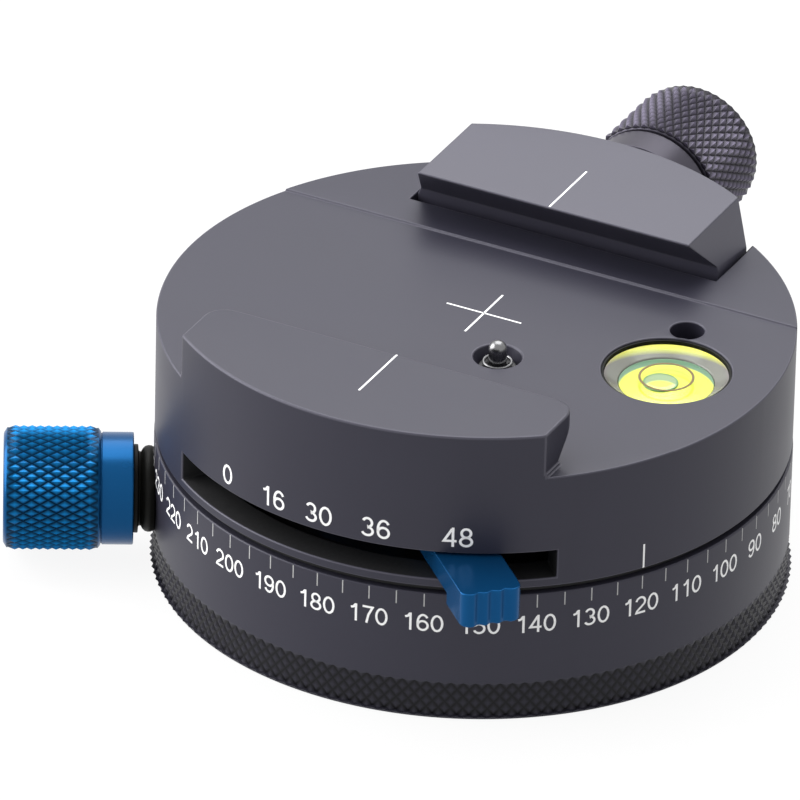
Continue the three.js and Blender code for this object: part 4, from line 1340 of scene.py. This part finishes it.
vial_low, vial_high = box_of("level_vial")
vial_radius = (vial_high[0] - vial_low[0]) / 2
vial_top = vial_high[2]
vial_foot = vial_low[2]
level_centre = Vector(((vial_low[0] + vial_high[0]) / 2, 0))
# The level direction away from the camera and the one across it, along which the painted light and shade of the
# level are laid.
level_back = Vector((-0.442, 0.897))
level_side = Vector((0.897, 0.442))
liquid_radius = 4.95
liquid_top = vial_top - 0.87
liquid_gap = 0.05
wall_lip = 0.05
wall_edge = 0.15
seal_gap = 0.01
seal_sunk = 0.2
seal_edge = 0.05
level_glow = 0.04
wall_grey = (0.19, 0.175, 0.17, 1)
painted_liquid_view = (0.78, 0.76, 0.06, 1)
glint_white = (1, 1, 1, 1)
glint_radius = 0.42
glint_places = ((-4.72, -3.6), (4.72, -4.0))
liquid_yellow = (0.74, 0.74, 0.09, 1)
liquid_rear_shade = (0.135, 0.24, 0.16, 1)
to_level = Matrix.Translation((level_centre.x, 0, 0))

# The clear wall is drawn opaque: the liquid seen through it at the back is painted yellow on it, with two painted
# glints at the front.
acrylic_wall, net = new_finish("acrylic_wall")
tint = blend(net, beyond(net, away(net, level_centre, -1.52), 7.2, 0.35), wall_grey, painted_liquid_view)
for sideward, backward in glint_places:
    glint = beyond(net, away(net, level_centre, backward, sideward), glint_radius, 0.2)
    tint = blend(net, glint, glint_white, tint)
luminous(net, tint, 0.2, level_glow)
level_wall = turned("level_wall", eased([
    (liquid_radius, vial_foot),
    (vial_radius, vial_foot),
    (vial_radius, vial_top - wall_lip),
    (liquid_radius, liquid_top - 0.02),
    (liquid_radius, vial_foot),
], wall_edge), level_columns, acrylic_wall)
seated(level_wall, to_level, "rotor", "level_vial")

# A ring of black rubber fills the gap round the vial; its black is partly painted shade for that gap.
seal_profile = ring_profile(vial_radius, level_hole_radius - seal_gap, vial_foot, floor_height - seal_sunk)
level_seal_and_shade = turned("level_seal_and_shade", eased(seal_profile, seal_edge), level_columns, rubber)
seated(level_seal_and_shade, to_level, "rotor")

liquid_green, net = new_finish("level_liquid")
# Painted shade: a darker teal crescent along the back edge of the liquid, where the chamber's rear wall shades it.
crescent = beyond(net, away(net, level_centre, -1.34), liquid_radius, 0.12)
luminous(net, blend(net, crescent, liquid_yellow, liquid_rear_shade), 0.12, level_glow)
liquid = turned("level_liquid_disc", [
    (0, vial_foot),
    (liquid_radius - liquid_gap, vial_foot),
    (liquid_radius - liquid_gap, liquid_top - 0.1),
    (liquid_radius / 2, liquid_top - 0.03),
    (0, liquid_top),
], ring_columns, liquid_green)
seated(liquid, to_level, "rotor", "level_fluid")

bubble_radius = 1.83
bubble_sunk = 0.15
bubble_side = 0.14
bubble_height = 0.2
bubble_edge = 0.12
bubble_light = (0.74, 0.76, 0.12, 1)
bubble_shade = (0.29, 0.37, 0.22, 1)
bubble_rim_shade = (0.16, 0.32, 0.14, 1)
bubble_centre = level_centre + level_back * -0.25 + level_side * -0.58
# The bubble's colours are painted light and shade: a light yellow middle, a shaded teal crescent at its back and a
# dark rim.
bubble_skin, net = new_finish("bubble_skin")
crescent = beyond(net, away(net, bubble_centre, -1.6), 1.75, 0.15)
tint = blend(net, crescent, bubble_light, bubble_shade)
tint = blend(net, beyond(net, away(net, bubble_centre), 1.62, 0.08), tint, bubble_rim_shade)
luminous(net, tint, 0.08, level_glow)
bubble = turned("level_bubble", eased([
    (0, liquid_top - bubble_sunk),
    (bubble_radius, liquid_top - bubble_sunk),
    (bubble_radius, liquid_top + bubble_side),
    (bubble_radius * 0.7, liquid_top + bubble_height),
    (0, liquid_top + bubble_height),
], bubble_edge, 4), small_columns, bubble_skin)
seated(bubble, Matrix.Translation((bubble_centre.x, bubble_centre.y, 0)), "rotor")

ring_ink = mottled("ring_ink", (0.15, 0.075, 0.008), 0.5, 2, (0.8, 0.4), (0.4, 0))
ring_radius = 2.76
ring_width = 0.26
ring_thickness = 0.04
ring_height = vial_top - 0.26
ring_inner = ring_radius - ring_width / 2
ring_outer = ring_radius + ring_width / 2
mark_profile = ring_profile(ring_inner, ring_outer, ring_height - ring_thickness, ring_height)
level_ring = turned("level_ring", mark_profile, ring_columns, ring_ink)
moved(level_ring, to_level)
fitted(level_ring, "rotor")

lens_clear, net = new_finish("lens_clear")
smear = patches(net, 2, 2)
inside = net.add("ShaderNodeNewGeometry", output="Backfacing")
clear = net.add("ShaderNodeBsdfTransparent", None, {"Color": (0.98, 1.0, 0.98, 1)})
gloss = net.add("ShaderNodeBsdfGlossy", None, {"Roughness": 0.03})
fresnel = net.add("ShaderNodeFresnel", None, {"IOR": 1.47})
mirror_share = fresnel * (1 - inside) * (0.25 + smear * 0.1)
both = net.add("ShaderNodeMixShader", None, {0: mirror_share, 1: clear, 2: gloss})
net.add("ShaderNodeOutputMaterial", None, {"Surface": both})
lens_radius = vial_radius - 0.35
lens_sunk = 0.24
lens_rise = 0.04
lens_edge = 0.06
lens = turned("level_lens", eased([
    (0, vial_top - lens_sunk),
    (lens_radius, vial_top - lens_sunk),
    (lens_radius, vial_top - lens_rise),
    (lens_radius * 0.6, vial_top + lens_rise / 2),
    (0, vial_top + lens_rise),
], lens_edge), ring_columns, lens_clear)
seated(lens, to_level, "rotor")


# Safety pin: a sprung steel pin with a domed tip that stops the camera plate from sliding out.
# It runs in a sleeve pressed into a recess of the floor, under a spring ring.

pin_low, pin_high = box_of("safety_pin")
pin_radius = 0.95
pin_stem_radius = 0.6
pin_stem = 1.9
pin_collar_radius = 1.5
pin_collar_top = 2.6
dome_steps = 8
pin_gap = 0.12
pin_tip = pin_high[2]
pin_foot = pin_low[2]
dome = arc(0, pin_tip - pin_radius, pin_radius, 0, pi / 2, dome_steps)[:-1]
pin_steel = mottled("pin_steel", (0.2, 0.2, 0.205), 0.6, 3, (0.9, 0.2), (0.22, 0.1), {"Metallic": 1})
pin = turned("safety_pin_turned", [
    (0, pin_foot),
    (pin_stem_radius, pin_foot),
    (pin_stem_radius, pin_foot + pin_stem),
    (pin_collar_radius, pin_foot + pin_stem),
    (pin_collar_radius, pin_foot + pin_collar_top),
    (pin_radius, pin_foot + pin_collar_top),
    *dome,
    (0, pin_tip),
], small_columns, pin_steel)
seated(pin, to_pin, "pin", "safety_pin")

dark_steel = mottled("dark_steel", (0.05, 0.05, 0.052), 0.4, 3, (0.8, 0.4), (0.3, 0.15), {"Metallic": 0.9})
sleeve_foot = box_of("pin_sleeve")[0][2]
sleeve_collar = 0.4
sleeve_edge = 0.1
recess_floor = floor_height - pin_recess_depth
sleeve = turned("pin_sleeve_turned", eased([
    (pin_radius + pin_gap, sleeve_foot),
    (pin_well_radius - slip, sleeve_foot),
    (pin_well_radius - slip, recess_floor),
    (pin_seat_radius - slip, recess_floor),
    (pin_seat_radius - slip, recess_floor + sleeve_collar),
    (pin_radius + pin_gap, recess_floor + sleeve_collar),
    (pin_radius + pin_gap, sleeve_foot),
], sleeve_edge), small_columns, dark_steel)
seated(sleeve, to_pin, "rotor", "pin_sleeve")

ring_start = radians(130)
ring_sweep = radians(300)
ring_steps = 48
ring_sides = 10
spring_ring_radius = 1.45
spring_ring_lift = 0.3
spring_ring_wire = 0.16
spring_ring_height = recess_floor + sleeve_collar + spring_ring_lift + spring_ring_wire
wire = arc(spring_ring_radius, spring_ring_height, spring_ring_wire, 0, 2 * pi, ring_sides)[:-1]
layers = []
for step in range(ring_steps + 1):
    angle = ring_start + ring_sweep * step / ring_steps
    layer = [(pin_x + reach * cos(angle), pin_y + reach * sin(angle), height) for reach, height in wire]
    layers.append(layer)
spring_ring = skinned("pin_spring_ring", layers, pin_steel)
polished(spring_ring)
fitted(spring_ring, "rotor")


# Underside: a turned cover plate of anodised aluminium, held by four countersunk steel screws.
# The steel bushing at its centre takes the screw of a tripod.

screw_low, screw_high = box_of("base_plate_screw_1")
cover_screw_circle = hypot((screw_low[0] + screw_high[0]) / 2, (screw_low[1] + screw_high[1]) / 2)
bushing_flange = box_of("tripod_bushing")[1][0]
bushing_top = box_of("tripod_bushing")[1][2]
bushing_radius = 6.3
flange_foot = cover_thickness - 1.3
cover_edge = 0.2
cover_columns = 256
countersink_profile = [(0, -1), (4.0, -1), (1.6, 1.6), (1.6, 4), (0, 4)]
screw_profile = [(0, 0.1), (2.85, 0.1), (2.9, 0.25), (1.5, 1.7), (1.5, 7), (0, 7)]
screw_edge = 0.05
socket_radius = 1.15
socket_depth = 1.3
screw_places = [(x, y, 0) for x, y in arc(0, 0, cover_screw_circle, radians(45), radians(405), 4)[:-1]]

cover = turned("cover", eased([
    (bushing_radius + slip, 0),
    (cover_radius, 0),
    (cover_radius, cover_thickness),
    (bushing_flange + slip, cover_thickness),
    (bushing_flange + slip, flange_foot),
    (bushing_radius + slip, flange_foot),
    (bushing_radius + slip, 0),
], cover_edge), cover_columns, charcoal)
countersinks = []
for place in screw_places:
    countersink = turned("countersink", countersink_profile, bore_columns, charcoal)
    countersinks.append(moved(countersink, Matrix.Translation(place)))
combined(cover, "DIFFERENCE", countersinks)
polished(cover)
fitted(cover, "base", "base_plate")

for i, place in enumerate(screw_places, 1):
    screw = turned("cover_screw", screw_profile, bore_columns, steel)
    socket_outline = arc(0, 0, socket_radius, 0, 2 * pi, 6)[:-1]
    combined(screw, "DIFFERENCE", [plate("socket", socket_outline, -1, socket_depth, steel)])
    moved(screw, Matrix.Translation(place))
    softened(screw, screw_edge)
    polished(screw)
    screw.name = f"cover_screw_{i}"
    fitted(screw, "base", f"base_plate_screw_{i}")

thread_pitch = 1.5875
thread_crest = 4.1
thread_root = 4.76
thread_rows = 72
thread_columns = 72
thread_lead = 0.7
rings = []
for row in range(thread_rows + 1):
    height = bushing_top * row / thread_rows
    lead = max(0, thread_lead - height)
    ring = []
    for column in range(thread_columns):
        turns = height / thread_pitch - column / thread_columns
        wave = abs((turns % 1) * 2 - 1)
        ring.append((max(thread_crest + (thread_root - thread_crest) * wave, thread_crest + lead), height))
    rings.append(ring)
outer_profile = [
    (bushing_radius, 0), (bushing_radius, flange_foot), (bushing_flange, flange_foot),
    (bushing_flange, cover_thickness), (bushing_radius, cover_thickness), (bushing_radius, bushing_top),
]
rings += [[point] * thread_columns for point in reversed(outer_profile)]
corners = []
faces = []
for row, ring in enumerate(rings):
    here = row * thread_columns
    next_row = (row + 1) % len(rings) * thread_columns
    for column, (reach, height) in enumerate(ring):
        angle = column * 2 * pi / thread_columns
        after = (column + 1) % thread_columns
        corners.append((reach * cos(angle), reach * sin(angle), height))
        faces.append((here + column, here + after, next_row + after, next_row + column))
bushing = solid("bushing", corners, faces, steel)
polished(bushing)
fitted(bushing, "base", "tripod_bushing")


# Inner pieces: seen only through the slot or when the head is opened. They keep their CAD shape
# and get the finish of the real material.

brass = mottled("brass", (0.6, 0.42, 0.16), 0.8, 4, (0.85, 0.3), (0.2, 0.15), {"Metallic": 1})
white_plastic = mottled("white_plastic", (0.75, 0.74, 0.7), 1.5, 4, (0.92, 0.14), (0.4, 0.2))

inner_finishes = {
    "bright_steel": dark_steel,
    "spring_steel": steel,
    "brass": brass,
    "black_rubber": rubber,
    "white_plastic": white_plastic,
    "level_yellow": liquid_green,
}
bright_nodes = ("clamp_screw", "lock_screw", "guide_pin_left", "guide_pin_right", "detent_ball")
for subpart in frame["record"]["subparts"]:
    node = frame["nodes"][subpart["node"]]
    finish = inner_finishes.get(subpart["material_slot"], charcoal)
    if node.name in bright_nodes:
        finish = steel
    node.data.materials.clear()
    node.data.materials.append(finish)
